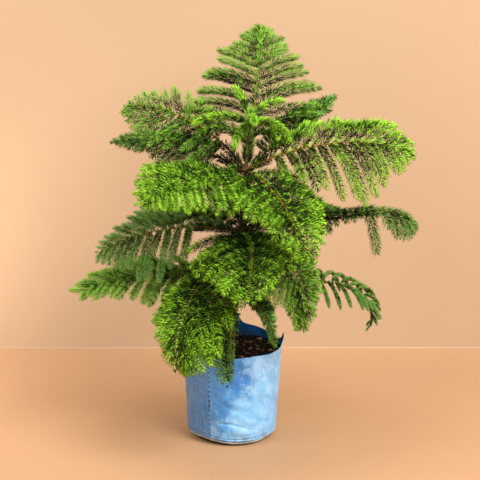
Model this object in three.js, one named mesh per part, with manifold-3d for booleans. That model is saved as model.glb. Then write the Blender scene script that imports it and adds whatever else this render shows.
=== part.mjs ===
// A young Norfolk Island pine in its woven nursery grow bag.
// Millimetres, +Z up. The origin is the centre of the bag's flat underside, +X is to the right
// of the plant's front and +Y is behind it. Azimuths are in degrees from +X towards +Y.
import * as THREE from "three";
import { mergeVertices } from "three/addons/utils/BufferGeometryUtils.js";
import Module from "manifold-3d";

const wasm = await Module();
wasm.setup();

// ---------------------------------------------------------------- driving dimensions
const CLEARANCE = 0.4; // gap between neighbouring solids

const BAG = {
  rimRadius: 74.5,
  hipRadius: 67,
  footRadius: 63,
  hipHeight: 6,
  frontHeight: 140,
  backRise: 10,
  earRise: 19,
  earAzimuth: 88,
  earWidth: 7,
  flapRise: 17,
  flapAzimuth: -2,
  flapWidth: 10,
  wall: 1.4,
  floor: 2,
  floorInset: 1.5,
  sides: 40,
};

// Waves in the bag's cloth: how many go round it, how deep they are at the rim and their phase.
const BAG_WAVES = [
  { count: 3, depth: 0.8, phase: 0.6 },
  { count: 7, depth: 0.5, phase: 2 },
];
const RIM_WAVE = { count: 5, depth: 1.2, phase: 1 };

const SOIL = {
  level: 128,
  edgeRise: 3,
  lump: 1.1,
  flatRadius: 11,
  inset: BAG.wall + 2 * CLEARANCE,
  sides: 32,
};

const TRUNK = {
  footX: -3,
  lean: 23 / 281, // sideways run for each millimetre of height
  rootLobe: 0.14, // how far the three roots swell the foot
  radii: [ // height and radius
    [128, 8.2],
    [132, 6.0],
    [140, 4.9],
    [224, 4.1],
    [314, 3.4],
    [409, 2.7],
    [480, 1.7],
    [495, 0.9],
  ],
  sides: 12,
};

const BOUGH = { baseRadius: 1.9, endRadius: 1.4, sides: 6, rings: 4 };
const STEM = { baseRadius: 2, tipRadius: 1, sides: 3, rings: 9 };

// Twigs grow in pairs along a limb, and the solids hold every second pair. They lean forward at their
// limb's angle, less closing at its tip. The last two are how far the chances go.
const TWIG = { step: 2, crowding: 0.9, outermost: 0.985, closing: 22, turnChance: 8, tiltChance: 14 };

// Half widths of a blade of needles at its teeth and notches, and half its thickness.
const TWIG_BLADE = { tooth: 9.5, notch: 2.6, ridge: 1.3 };
const SHOOT_BLADE = { tooth: 9.5, notch: 3.2, ridge: 1.6 };
const SHOOT_TEETH = 6;
const LONG_TWIG = 62; // a twig over this length has three teeth a side, and any other two

const COLOURS = {
  bag: 0x8fbde6,
  soil: 0x2a1e12,
  bark: 0x6b4a2c,
  bough: 0x8a5a2e,
  youngNeedles: 0x7fa52a,
  matureNeedles: 0x4a7422,
  shadedNeedles: 0x2f4d1e,
};

// Each limb leaves the trunk at its height and azimuth, climbs at rise degrees and bends down by droop
// degrees over its length, while swing turns it sideways. bare is the share of its length with no twigs,
// which is the bough, and pairs of twigs grow on the rest. roll tilts its flat spray about its own line
// and dihedral lifts both sides. span is its longest twig, and sides scales the right and the left ones.
// profile is where the longest twigs are, from 0 to 1, and how long the innermost and outermost are
// beside them. forward is the twigs' angle to the limb, uneven is how far the chances change their
// length, trim scales single twigs by their number, and sag is how they hang.
const limb = (name, height, azimuth, rise, droop, swing, length, spray) => ({
  name, height, azimuth, rise, droop, swing, length,
  bend: 1.3, roll: 0, span: 80, sides: [1, 1], profile: [0.22, 0.72, 0.16], forward: 66, uneven: 0.16,
  trim: {}, dihedral: 10, sag: 0.6, pairs: 14, bare: 0.2, tint: "matureNeedles",
  ...spray,
});

const LIMBS = [
  limb("upper_right", 409, -14, 27, 47, 12, 254,
    { roll: 42, span: 98, sides: [1.14, 0.9], profile: [0.42, 0.5, 0.08], dihedral: 14, sag: 1.1,
      pairs: 15, bare: 0.12, tint: "youngNeedles" }),
  limb("upper_left", 413, 176, 50, 56, -2, 205,
    { roll: -48, span: 64, sides: [0.8, 1.28], profile: [0.4, 0.85, 0.16], sag: 0.4, pairs: 11 }),
  limb("upper_back_left", 405, 140, 20, 31, 30, 234,
    { roll: -20, span: 64, sag: 1.2, tint: "shadedNeedles" }),
  limb("upper_back", 412, 77, 57, 33, 12, 284,
    { span: 114, sides: [1.06, 1.16], profile: [0.05, 1, 0.08], forward: 60, dihedral: 0, sag: 0.4,
      bare: 0.14 }),
  limb("upper_back_right", 403, 38, 38, 22, 4, 208, { span: 56, sag: 0.5, tint: "shadedNeedles" }),
  limb("upper_front_right", 406, -66, -3, 50, 1, 234,
    { span: 88, sides: [1.08, 1], profile: [0.2, 0.9, 0.16], bare: 0.06, tint: "youngNeedles" }),
  limb("upper_front_left", 407, 225, 9, 39, -2, 206,
    { roll: -10, span: 84, sides: [1.08, 1.3], profile: [0.3, 0.95, 0.08], sag: 0.5, bare: 0.14,
      tint: "youngNeedles" }),

  limb("middle_left", 315, 200, 13, 43, -10, 217,
    { roll: -32, span: 82, sides: [0.82, 1.2], sag: 0.8, pairs: 11, bare: 0.32, tint: "shadedNeedles" }),
  limb("middle_front", 309, -77, 9, 50, -22, 222,
    { span: 86, sides: [1.25, 1], profile: [0.3, 0.9, 0.16], bare: 0.06, tint: "youngNeedles" }),
  limb("middle_front_right", 313, -45, -2, 100, -2, 202, { span: 74, sides: [1.2, 0.9], sag: 1 }),
  limb("middle_right", 318, -10, 9, 45, 44, 276,
    { bend: 4, roll: 40, span: 70, sides: [1, 0.2], profile: [0.65, 0.3, 0.5], forward: 94, uneven: 0.2,
      trim: {
        9: 0.5, 11: 0.55, 13: 0.4, 15: 0.35, 17: 1.12, 19: 0.3, 21: 0.62, 23: 0.85, 25: 0.9, 29: 0.75,
        31: 0.6,
      },
      sag: 2.6, pairs: 16, bare: 0.24, tint: "shadedNeedles" }),
  limb("middle_back_right", 312, 34, 20, 44, 6, 206,
    { span: 66, sag: 1.2, bare: 0.12, tint: "shadedNeedles" }),
  limb("middle_back", 316, 78, 24, 46, 8, 215, { span: 76, bare: 0.12, tint: "shadedNeedles" }),
  limb("middle_back_left", 311, 138, 16, 44, -8, 215,
    { span: 84, profile: [0.5, 0.45, 0.16], sag: 0.9, bare: 0.05, tint: "shadedNeedles" }),

  limb("lower_left", 226, 196, 23, 46, -4, 229,
    { roll: -15, sides: [1.1, 1.05], profile: [0.22, 0.72, 0.34], sag: 0.7, pairs: 12 }),
  limb("lower_front_left", 230, 242, 35, 130, 10, 260,
    { span: 86, sides: [0.86, 1.34], profile: [0.42, 0.6, 0.14], sag: 1.3, tint: "youngNeedles" }),
  limb("lower_front", 216, 266, 2, 58, 5, 206, { span: 62, sides: [1.25, 0.3], tint: "shadedNeedles" }),
  limb("lower_right", 225, -3, 8, 132, 16, 253,
    { bend: 3.4, roll: 18, span: 64, sides: [1, 1.2], forward: 74, dihedral: 32, sag: 2.6, pairs: 12,
      bare: 0.35, tint: "shadedNeedles" }),
  limb("lower_front_right", 223, -68, 8, 45, -8, 184,
    { span: 34, sides: [0.6, 0.9], tint: "shadedNeedles" }),
  limb("lower_back_right", 228, 52, 20, 52, 6, 208, { span: 70, tint: "shadedNeedles" }),
  limb("lower_back_left", 223, 128, 14, 50, -6, 212, { span: 72, tint: "shadedNeedles" }),
];

// The leader's young shoots are single bottle-brush twigs.
const shoot = (name, height, azimuth, rise, droop, length) => ({
  name, height, azimuth, rise, droop, length, swing: 0, bend: 1.3, tint: "youngNeedles",
});

const SHOOTS = [
  shoot("shoot_back_left", 486, 128, 64, 50, 62),
  shoot("shoot_right", 483, 4, 52, 66, 62),
  shoot("shoot_left", 478, 188, 22, 62, 92),
  shoot("shoot_front_left", 474, 243, -2, 78, 66),
  shoot("shoot_front_right", 476, -34, 18, 92, 84),
  shoot("shoot_front", 480, 278, 26, 70, 54),
  shoot("shoot_low_left", 446, 184, 48, 96, 88),
  shoot("shoot_low_right", 455, -8, 46, 140, 52),
];

// ---------------------------------------------------------------- geometry helpers
const UP = new THREE.Vector3(0, 0, 1);
const radians = THREE.MathUtils.degToRad;

const direction = (azimuth, elevation) => new THREE.Vector3(
  Math.cos(radians(elevation)) * Math.cos(radians(azimuth)),
  Math.cos(radians(elevation)) * Math.sin(radians(azimuth)),
  Math.sin(radians(elevation)),
);

// A repeatable number from 0 to 1 for one feature of one twig of one limb.
function chance(limbIndex, twigIndex, feature) {
  let h = (limbIndex * 7349 + twigIndex * 9151 + feature * 13007 + 101) | 0;
  h = Math.imul(h ^ (h >>> 15), 0x2c1b3c6d);
  h = Math.imul(h ^ (h >>> 12), 0x297a2d39);
  return ((h ^ (h >>> 15)) >>> 0) / 4294967296;
}

function geometryOf(points, faces) {
  const geometry = new THREE.BufferGeometry();
  geometry.setAttribute("position", new THREE.Float32BufferAttribute(points.flatMap((p) => p.toArray()), 3));
  geometry.setIndex(faces.flat());
  return geometry;
}

// A closed skin over rings of equal vertex count, with a flat fan at each end.
function loft(rings) {
  const sides = rings[0].length;
  const faces = [];
  rings.slice(1).forEach((ring, i) => {
    for (let k = 0; k < sides; k += 1) {
      const next = (k + 1) % sides;
      const [a, b] = [i * sides + k, i * sides + next];
      faces.push([a, b, b + sides], [a, b + sides, a + sides]);
    }
  });
  const last = (rings.length - 1) * sides;
  for (let k = 1; k < sides - 1; k += 1) {
    faces.push([0, k + 1, k], [last, last + k, last + k + 1]);
  }
  return geometryOf(rings.flat(), faces);
}

// A tapering limb over a line of points, with radiusAt from 0 at its base to 1 at its end.
function taper(points, sides, radiusAt) {
  let across = new THREE.Vector3();
  const rings = points.map((point, i) => {
    const along = points[Math.min(i + 1, points.length - 1)].clone()
      .sub(points[Math.max(i - 1, 0)]).normalize();
    if (i === 0) across.crossVectors(along, Math.abs(along.z) < 0.9 ? UP : new THREE.Vector3(0, 1, 0));
    across = across.addScaledVector(along, -across.dot(along)).normalize();
    const over = new THREE.Vector3().crossVectors(along, across);
    const radius = radiusAt(i / (points.length - 1));
    return Array.from({ length: sides }, (_, k) => {
      const turn = (2 * Math.PI * k) / sides;
      return point.clone()
        .addScaledVector(across, radius * Math.cos(turn))
        .addScaledVector(over, radius * Math.sin(turn));
    });
  });
  return loft(rings);
}

function solidOf(geometry) {
  const bare = geometry.clone();
  bare.deleteAttribute("normal");
  bare.deleteAttribute("uv");
  const merged = mergeVertices(bare, 1e-4);
  return new wasm.Manifold(new wasm.Mesh({
    numProp: 3,
    vertProperties: merged.attributes.position.array,
    triVerts: new Uint32Array(merged.index.array),
  }));
}

function geometryOfSolid(solid) {
  const mesh = solid.getMesh();
  const geometry = new THREE.BufferGeometry();
  geometry.setAttribute("position", new THREE.BufferAttribute(mesh.vertProperties, 3));
  geometry.setIndex(new THREE.BufferAttribute(mesh.triVerts, 1));
  return geometry;
}

// ---------------------------------------------------------------- the tree's lines
const trunkCentre = (z) => new THREE.Vector3(TRUNK.footX + (z - SOIL.level) * TRUNK.lean, 0, z);

function trunkRadius(z) {
  const upper = Math.max(1, TRUNK.radii.findIndex(([height]) => height >= z));
  const [[z0, r0], [z1, r1]] = [TRUNK.radii[upper - 1], TRUNK.radii[upper]];
  return THREE.MathUtils.mapLinear(z, z0, z1, r0, r1);
}

const LINE_STEPS = 48;

// The line of a limb, from just outside the trunk to its tip.
function lineOf(member, baseRadius) {
  const start = trunkRadius(member.height) + CLEARANCE
    + baseRadius * Math.abs(Math.sin(radians(member.rise)));
  const points = [trunkCentre(member.height).addScaledVector(direction(member.azimuth, 0), start)];
  for (let k = 0; k < LINE_STEPS; k += 1) {
    const t = (k + 0.5) / LINE_STEPS;
    const azimuth = member.azimuth + member.swing * t;
    const heading = direction(azimuth, member.rise - member.droop * t ** member.bend);
    points.push(points[k].clone().addScaledVector(heading, member.length / LINE_STEPS));
  }
  return points;
}

// The point at a share t of a line of evenly spaced points.
function pointOn(line, t) {
  const k = Math.min(Math.max(t, 0), 1) * (line.length - 1);
  const i = Math.min(Math.floor(k), line.length - 2);
  return line[i].clone().lerp(line[i + 1], k - i);
}

const headingOn = (line, t) => pointOn(line, t + 0.02).sub(pointOn(line, t - 0.02)).normalize();

const stretch = (line, from, to, count) => Array.from(
  { length: count },
  (_, i) => pointOn(line, from + ((to - from) * i) / (count - 1)),
);

const SAG_LENGTH = 80; // a twig this long sags by its limb's whole figure

// How long a twig is beside the longest at u, from 0 at the innermost twig to 1 at the limb's tip.
function spanAt([shoulder, inner, outer], u) {
  const rise = inner + (1 - inner) * Math.min(u / shoulder, 1);
  const fall = (1 - outer) * (Math.max(u - shoulder, 0) / (1 - shoulder)) ** 1.15;
  return rise * (1 - fall);
}

// Where the twig of one side starts on its limb's stem, where it points and how long it is. side is 1
// to the right of the limb's heading and -1 to the left.
function twigOf({ member, limbIndex, line, stemLine }, pair, side, lift) {
  const u = (pair + 0.5 + 0.25 * side) / member.pairs;
  const t = Math.min(member.bare + (1 - member.bare) * u ** TWIG.crowding, TWIG.outermost);
  const twigIndex = 2 * pair + (side > 0 ? 1 : 0);
  const luck = (feature) => chance(limbIndex, twigIndex, feature) - 0.5;
  const start = pointOn(stemLine, (t - member.bare) / (1 - member.bare));
  const heading = headingOn(line, t);
  const over = UP.clone().addScaledVector(heading, -heading.z).normalize();
  const right = new THREE.Vector3().crossVectors(heading, over);
  const roll = radians(member.roll);
  const normal = over.clone().multiplyScalar(Math.cos(roll)).addScaledVector(right, Math.sin(roll));
  const out = right.clone().multiplyScalar(Math.cos(roll)).addScaledVector(over, -Math.sin(roll));
  const forward = radians(member.forward - TWIG.closing * u + TWIG.turnChance * luck(1));
  const dihedral = radians(member.dihedral + lift + TWIG.tiltChance * luck(2));
  const points = heading.clone().multiplyScalar(Math.cos(forward))
    .addScaledVector(out, side * Math.sin(forward) * Math.cos(dihedral))
    .addScaledVector(normal, Math.sin(forward) * Math.sin(dihedral));
  const length = member.span * spanAt(member.profile, u) * member.sides[side > 0 ? 0 : 1]
    * (1 + member.uneven * luck(3)) * (member.trim[twigIndex] ?? 1);
  return { start, heading, points, length, sag: member.sag };
}

// The twig's own line in equal steps. It sags more towards its end, and the more the longer it is.
function twigLine({ start, points, length, sag }, steps) {
  const line = [start];
  for (let k = 0; k < steps; k += 1) {
    const pull = (sag * ((k + 0.5) / steps) * length) / SAG_LENGTH;
    const heading = points.clone().addScaledVector(UP, -pull).normalize();
    line.push(line[k].clone().addScaledVector(heading, length / steps));
  }
  return line;
}

// ---------------------------------------------------------------- blades of needles
const [TOOTH_REACH, END_TOOTH_REACH] = [1.22, 0.72]; // how far ahead a tooth points, in steps of its line
const [NOTCH_TAPER, TOOTH_TAPER] = [0.45, 0.3]; // shares that a blade loses towards its end
const ROOT_SHARE = 0.5; // thickness of the sunk root edge, as a share of the ridge

// A spray of needles is a blade with a ridge along it, above and below, and pointed teeth down both
// edges that lean forward. It starts as a short upright edge, sunk in what carries it, and ends in a
// point. grow thickens it all over, for testing its clearance.
function blade(line, sideways, { tooth, notch, ridge }, grow = 0) {
  const last = line.length - 1;
  const points = [];
  const faces = [];
  const frames = line.map((point, i) => {
    const along = line[Math.min(i + 1, last)].clone().sub(line[Math.max(i - 1, 0)]).normalize();
    const across = sideways.clone().addScaledVector(along, -sideways.dot(along)).normalize();
    return { along, across, over: new THREE.Vector3().crossVectors(across, along) };
  });
  const at = (i, right, up, ahead = 0) => points.push(
    line[i].clone()
      .addScaledVector(frames[i].across, right)
      .addScaledVector(frames[i].over, up)
      .addScaledVector(frames[i].along, ahead),
  ) - 1;
  const tip = at(last, 0, 0, grow);
  const stations = line.map((_, i) => {
    if (i === last) return { top: tip, bottom: tip, right: tip, left: tip };
    const slim = 1 - (NOTCH_TAPER * i) / last;
    const thick = (i === 0 ? ROOT_SHARE : slim) * ridge + grow;
    const [top, bottom] = [at(i, 0, thick), at(i, 0, -thick)];
    if (i === 0) return { top, bottom };
    return { top, bottom, right: at(i, notch * slim + grow, 0), left: at(i, -notch * slim - grow, 0) };
  });
  for (let i = 0; i < last; i += 1) {
    const [here, next] = [stations[i], stations[i + 1]];
    const reach = (i === last - 1 ? END_TOOTH_REACH : TOOTH_REACH) * line[i].distanceTo(line[i + 1]);
    const wide = (1 - (TOOTH_TAPER * i) / last) * tooth + grow;
    for (const [edge, side] of [["right", 1], ["left", -1]]) {
      const point = at(i, side * wide, 0, reach);
      const { top, bottom } = here;
      const fan = [[top, point, next[edge]], [bottom, next[edge], point]];
      if (i === 0) fan.push([top, bottom, point]);
      else fan.push([top, here[edge], point], [bottom, point, here[edge]]);
      if (i < last - 1) fan.push([top, next[edge], next.top], [bottom, next.bottom, next[edge]]);
      faces.push(...(side > 0 ? fan : fan.map(([a, b, c]) => [a, c, b])));
    }
  }
  return geometryOf(points, faces);
}

// ---------------------------------------------------------------- the grow bag and its soil
const waveAt = ({ count, depth, phase }, turn) => depth * Math.sin(count * turn + phase);

// The cloth is drawn in and out a little round the bag, more so at its open rim.
function bagRadius(z, turn) {
  const { footRadius, hipRadius, rimRadius, hipHeight, frontHeight } = BAG;
  const foot = THREE.MathUtils.mapLinear(Math.min(z, hipHeight), 0, hipHeight, footRadius, hipRadius);
  const side = (Math.max(z - hipHeight, 0) / (frontHeight - hipHeight)) * (rimRadius - hipRadius);
  const wave = BAG_WAVES.reduce((sum, each) => sum + waveAt(each, turn), 0);
  return foot + side + (wave * z) / frontHeight;
}

// The rim is higher at the back, where one corner of the cloth stands up as an ear, and another stands
// up as a flap at the right.
function rimHeight(turn) {
  const back = BAG.backRise * Math.max(Math.sin(turn), 0) ** 1.4;
  const corner = (rise, azimuth, width) => {
    const away = THREE.MathUtils.euclideanModulo(THREE.MathUtils.radToDeg(turn) - azimuth + 180, 360) - 180;
    return rise * Math.exp(-((away / width) ** 2));
  };
  return BAG.frontHeight + back
    + corner(BAG.earRise, BAG.earAzimuth, BAG.earWidth)
    + corner(BAG.flapRise, BAG.flapAzimuth, BAG.flapWidth)
    + waveAt(RIM_WAVE, turn);
}

const circle = (sides, pointAt) => Array.from(
  { length: sides },
  (_, k) => pointAt((2 * Math.PI * k) / sides),
);

const bagRing = (heightAt, inset) => circle(BAG.sides, (turn) => {
  const z = heightAt(turn);
  const radius = bagRadius(z, turn) - inset;
  return new THREE.Vector3(radius * Math.cos(turn), radius * Math.sin(turn), z);
});

function growBag() {
  const part = (share) => (turn) => BAG.hipHeight + share * (rimHeight(turn) - BAG.hipHeight);
  return loft([
    bagRing(() => 0, 0),
    bagRing(() => BAG.hipHeight, 0),
    bagRing(part(0.5), 0),
    bagRing(rimHeight, 0),
    bagRing(rimHeight, BAG.wall),
    bagRing(part(0.5), BAG.wall),
    bagRing(() => BAG.hipHeight, BAG.wall),
    bagRing(() => BAG.floor, BAG.wall + BAG.floorInset),
  ]);
}

// The soil fills the bag, lies flat round the trunk and rises a little to its edge in shallow lumps.
function soilFill() {
  const wallRing = (z, extra = 0) => circle(SOIL.sides, (turn) => {
    const radius = bagRadius(z, turn) - SOIL.inset - extra;
    return new THREE.Vector3(radius * Math.cos(turn), radius * Math.sin(turn), z);
  });
  const topRing = (share, lump) => circle(SOIL.sides, (turn) => {
    const radius = share * (bagRadius(SOIL.level, turn) - SOIL.inset);
    const z = SOIL.level + SOIL.edgeRise * share ** 3 + lump * Math.sin(5 * turn + 9 * share);
    return new THREE.Vector3(radius * Math.cos(turn), radius * Math.sin(turn), z);
  });
  const flatRing = circle(SOIL.sides, (turn) => new THREE.Vector3(
    TRUNK.footX + SOIL.flatRadius * Math.cos(turn), SOIL.flatRadius * Math.sin(turn), SOIL.level,
  ));
  return loft([
    wallRing(BAG.floor + CLEARANCE, BAG.floorInset + 2 * CLEARANCE),
    wallRing(BAG.hipHeight + CLEARANCE),
    topRing(1, 0),
    topRing(0.8, 0.8 * SOIL.lump),
    topRing(0.5, 0.5 * SOIL.lump),
    flatRing,
  ]);
}

// ---------------------------------------------------------------- trunk, boughs and foliage
// The trunk leans a little, swells into three roots at its foot and is cut flat just above the soil.
function trunkLimb() {
  return loft(TRUNK.radii.map(([height, radius], i) => {
    const z = Math.max(height, SOIL.level + CLEARANCE);
    const lobe = i === 0 ? TRUNK.rootLobe : 0;
    return circle(TRUNK.sides, (turn) => {
      const reach = radius * (1 + lobe * Math.cos(3 * turn));
      return trunkCentre(z).add(new THREE.Vector3(reach * Math.cos(turn), reach * Math.sin(turn), 0));
    });
  }));
}

const part = new THREE.Group();
part.name = "norfolk_island_pine";

function addNode(name, geometry, colour, roughness = 0.8) {
  const plain = geometry.index ? geometry.toNonIndexed() : geometry;
  plain.computeVertexNormals();
  const material = new THREE.MeshStandardMaterial({ color: colour, roughness, metalness: 0 });
  const mesh = new THREE.Mesh(plain, material);
  mesh.name = name;
  part.add(mesh);
}

// Solids that a new twig has to keep clear of, each with its box and the node that it belongs to.
const placed = [];

function place(owner, geometry) {
  const solid = solidOf(geometry);
  placed.push({ owner, solid, box: new THREE.Box3().setFromBufferAttribute(geometry.attributes.position) });
  return solid;
}

function isClear(owner, geometry) {
  const box = new THREE.Box3().setFromBufferAttribute(geometry.attributes.position);
  const near = placed.filter((other) => other.owner !== owner && other.box.intersectsBox(box));
  if (!near.length) return true;
  const solid = solidOf(geometry);
  return near.every((other) => solid.intersect(other.solid).isEmpty());
}

addNode("soil", soilFill(), COLOURS.soil, 0.95);
for (const [name, geometry, colour] of [
  ["grow_bag", growBag(), COLOURS.bag],
  ["trunk", trunkLimb(), COLOURS.bark],
]) {
  addNode(name, geometry, colour);
  place(name, geometry);
}

const fronds = LIMBS.map((member, limbIndex) => {
  const line = lineOf(member, BOUGH.baseRadius);
  const gap = (1.3 * CLEARANCE) / member.length; // a little more where the limb bends
  const bough = taper(
    stretch(line, 0, member.bare - gap, BOUGH.rings),
    BOUGH.sides,
    (t) => THREE.MathUtils.lerp(BOUGH.baseRadius, BOUGH.endRadius, t),
  );
  addNode(`${member.name}_bough`, bough, COLOURS.bough);
  place(`${member.name}_bough`, bough);
  const stemLine = stretch(line, member.bare, 1, STEM.rings);
  const stem = taper(stemLine, STEM.sides, (t) => THREE.MathUtils.lerp(STEM.baseRadius, STEM.tipRadius, t));
  return { member, limbIndex, line, stemLine, pieces: [place(member.name, stem)] };
});

const shoots = SHOOTS.map((member) => {
  const line = lineOf(member, ROOT_SHARE * SHOOT_BLADE.ridge);
  const sideways = new THREE.Vector3().crossVectors(headingOn(line, 0.3), UP).normalize();
  const geometry = blade(stretch(line, 0, 1, SHOOT_TEETH + 1), sideways, SHOOT_BLADE);
  place(member.name, geometry);
  return { member, geometry };
});

// A twig that would touch another limb or spray is tried a little lower, higher and shorter, and is
// left out where none of these is clear.
const TRIES = [
  { lift: 0, share: 1 },
  { lift: 14, share: 1 },
  { lift: -14, share: 1 },
  { lift: 0, share: 0.8 },
  { lift: 24, share: 0.85 },
  { lift: -24, share: 0.85 },
  { lift: 0, share: 0.6 },
  { lift: 0, share: 0.42 },
];

function growTwig(frond, pair, side) {
  const { member } = frond;
  for (const { lift, share } of TRIES) {
    const twig = twigOf(frond, pair, side, lift);
    twig.length *= share;
    const spine = twigLine(twig, twig.length > LONG_TWIG ? 3 : 2);
    if (isClear(member.name, blade(spine, twig.heading, TWIG_BLADE, CLEARANCE))) {
      frond.pieces.push(place(member.name, blade(spine, twig.heading, TWIG_BLADE)));
      return;
    }
  }
}

const mostPairs = Math.max(...LIMBS.map(({ pairs }) => pairs));
for (let pair = 0; pair < mostPairs; pair += TWIG.step) {
  for (const frond of fronds.filter(({ member }) => pair < member.pairs)) {
    growTwig(frond, pair, 1);
    growTwig(frond, pair, -1);
  }
}

for (const { member, pieces } of fronds) {
  const mass = pieces.reduce((joined, piece) => joined.add(piece));
  addNode(member.name, geometryOfSolid(mass), COLOURS[member.tint], 0.6);
}

for (const { member, geometry } of shoots) {
  addNode(member.name, geometry, COLOURS[member.tint], 0.6);
}

export default part;
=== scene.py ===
"""The visual model of a young Norfolk Island pine in its woven nursery grow bag.

Every shape is worked out in millimetres in the part's frame and turned into metres when its mesh is made.
Azimuths are in degrees from +X towards +Y. The tree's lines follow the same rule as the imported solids.
"""

import itertools
import math
from functools import cached_property
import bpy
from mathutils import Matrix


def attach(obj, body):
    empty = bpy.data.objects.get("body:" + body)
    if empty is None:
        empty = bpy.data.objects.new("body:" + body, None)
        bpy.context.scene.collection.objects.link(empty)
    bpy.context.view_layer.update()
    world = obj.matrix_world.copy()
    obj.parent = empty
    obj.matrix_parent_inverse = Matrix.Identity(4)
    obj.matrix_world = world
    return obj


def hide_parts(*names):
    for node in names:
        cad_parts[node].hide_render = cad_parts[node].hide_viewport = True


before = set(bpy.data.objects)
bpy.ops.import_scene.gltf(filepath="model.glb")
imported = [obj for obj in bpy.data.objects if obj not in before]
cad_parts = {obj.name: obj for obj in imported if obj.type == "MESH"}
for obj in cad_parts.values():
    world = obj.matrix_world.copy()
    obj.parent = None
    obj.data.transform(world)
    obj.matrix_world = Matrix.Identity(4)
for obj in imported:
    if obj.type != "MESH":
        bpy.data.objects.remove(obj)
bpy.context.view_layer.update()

from types import SimpleNamespace

import bpy
import numpy as np
from bpy.props import FloatProperty, FloatVectorProperty, IntProperty, PointerProperty

bl_info = {
    "name": "Potted Pine",
    "version": (1, 0, 0),
    "blender": (4, 5, 0),
    "location": "3D View > Sidebar > Potted Pine",
    "description": "Dresses a young potted conifer with bark, twigs, needles, cloth and soil",
    "category": "Add Mesh",
}

MM = 0.001
UP = np.array([0.0, 0.0, 1.0])

# ---------------------------------------------------------------- the rule of the solids

BAG = SimpleNamespace(
    rim_radius=74.5,
    hip_radius=67.0,
    foot_radius=63.0,
    hip_height=6.0,
    front_height=140.0,
    back_rise=10.0,
    ear_rise=19.0,  # of the cloth's corner at the back, over the rim
    ear_azimuth=88.0,
    ear_width=7.0,
    flap_rise=17.0,  # of the flap at the right, over the rim
    flap_azimuth=-2.0,
    flap_width=10.0,
)
BAG_WAVES = ((3, 0.8, 0.6), (7, 0.5, 2.0))  # count round the bag, depth, phase
RIM_WAVE = (5, 1.2, 1.0)
SOIL = SimpleNamespace(level=128.0, edge_rise=3.0, radius=72.0)
TRUNK = SimpleNamespace(
    foot_x=-3.0,
    lean=23 / 281,  # to the right, for each millimetre up
    root_lobe=0.14,  # how far its three roots stand out, as a share of its radius
    heights=(128, 132, 140, 224, 314, 409, 480, 495),
    radii=(8.2, 6.0, 4.9, 4.1, 3.4, 2.7, 1.7, 0.9),
)
CLEARANCE = 0.4  # between a limb's solid and the trunk's
BOUGH_RADIUS = 1.9
SHOOT_RADIUS = 0.8
LINE_STEPS = 48
TWIG = SimpleNamespace(
    crowding=0.9,  # under 1, the twigs stand closer towards the tip
    outermost=0.985,  # where the last twig stands, as a share of the limb
    closing=22.0,  # how much nearer to the limb the last twigs point, in degrees
    turn_chance=8.0,
    tilt_chance=14.0,
)
SAG_LENGTH = 80.0  # length of a twig that sags by its limb's own measure
# How a frond's twigs and needles stand, where its own row in the table doesn't say.
SPRAY = {
    "bend": 1.3,  # how late along the limb its droop comes
    "roll": 0.0,  # how far the flat spray is turned about its limb, in degrees
    "span": 80.0,  # length of the longest twigs
    "sides": (1.0, 1.0),  # their share of it on the right and on the left
    "dihedral": 10.0,  # how far the twigs rise out of the spray, in degrees
    "sag": 0.6,
    "bare": 0.2,  # share of the limb before its first twig
    "pairs": 14,
    "forward": 66.0,  # angle between the limb and its innermost twigs, in degrees
    "uneven": 0.16,
    "trim": {},  # lengths of single twigs, by their numbers
    "profile": (0.22, 0.72, 0.16),  # see span_at
    "tint": "mature",
    "needle": 1.0,  # length of its needles beside the plain ones
    "spread": 1.0,  # their angle beside the plain ones
    "sleeve": 0.0,  # share of the limb that is covered in needles all round
    "light": 0.0,  # how much lighter its tints are painted, as painted light on the frond
    "finer": 0.0,  # length of the twigs between the pairs, beside the pairs
    "wood": "green",
}


def limb(name, height, azimuth, rise, droop, swing, length, **spray):
    """One frond: where it leaves the trunk, how it bends and how its twigs spread."""
    return SimpleNamespace(
        name=name, height=height, azimuth=azimuth, rise=rise, droop=droop, swing=swing, length=length,
        **{**SPRAY, **spray},
    )


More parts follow.
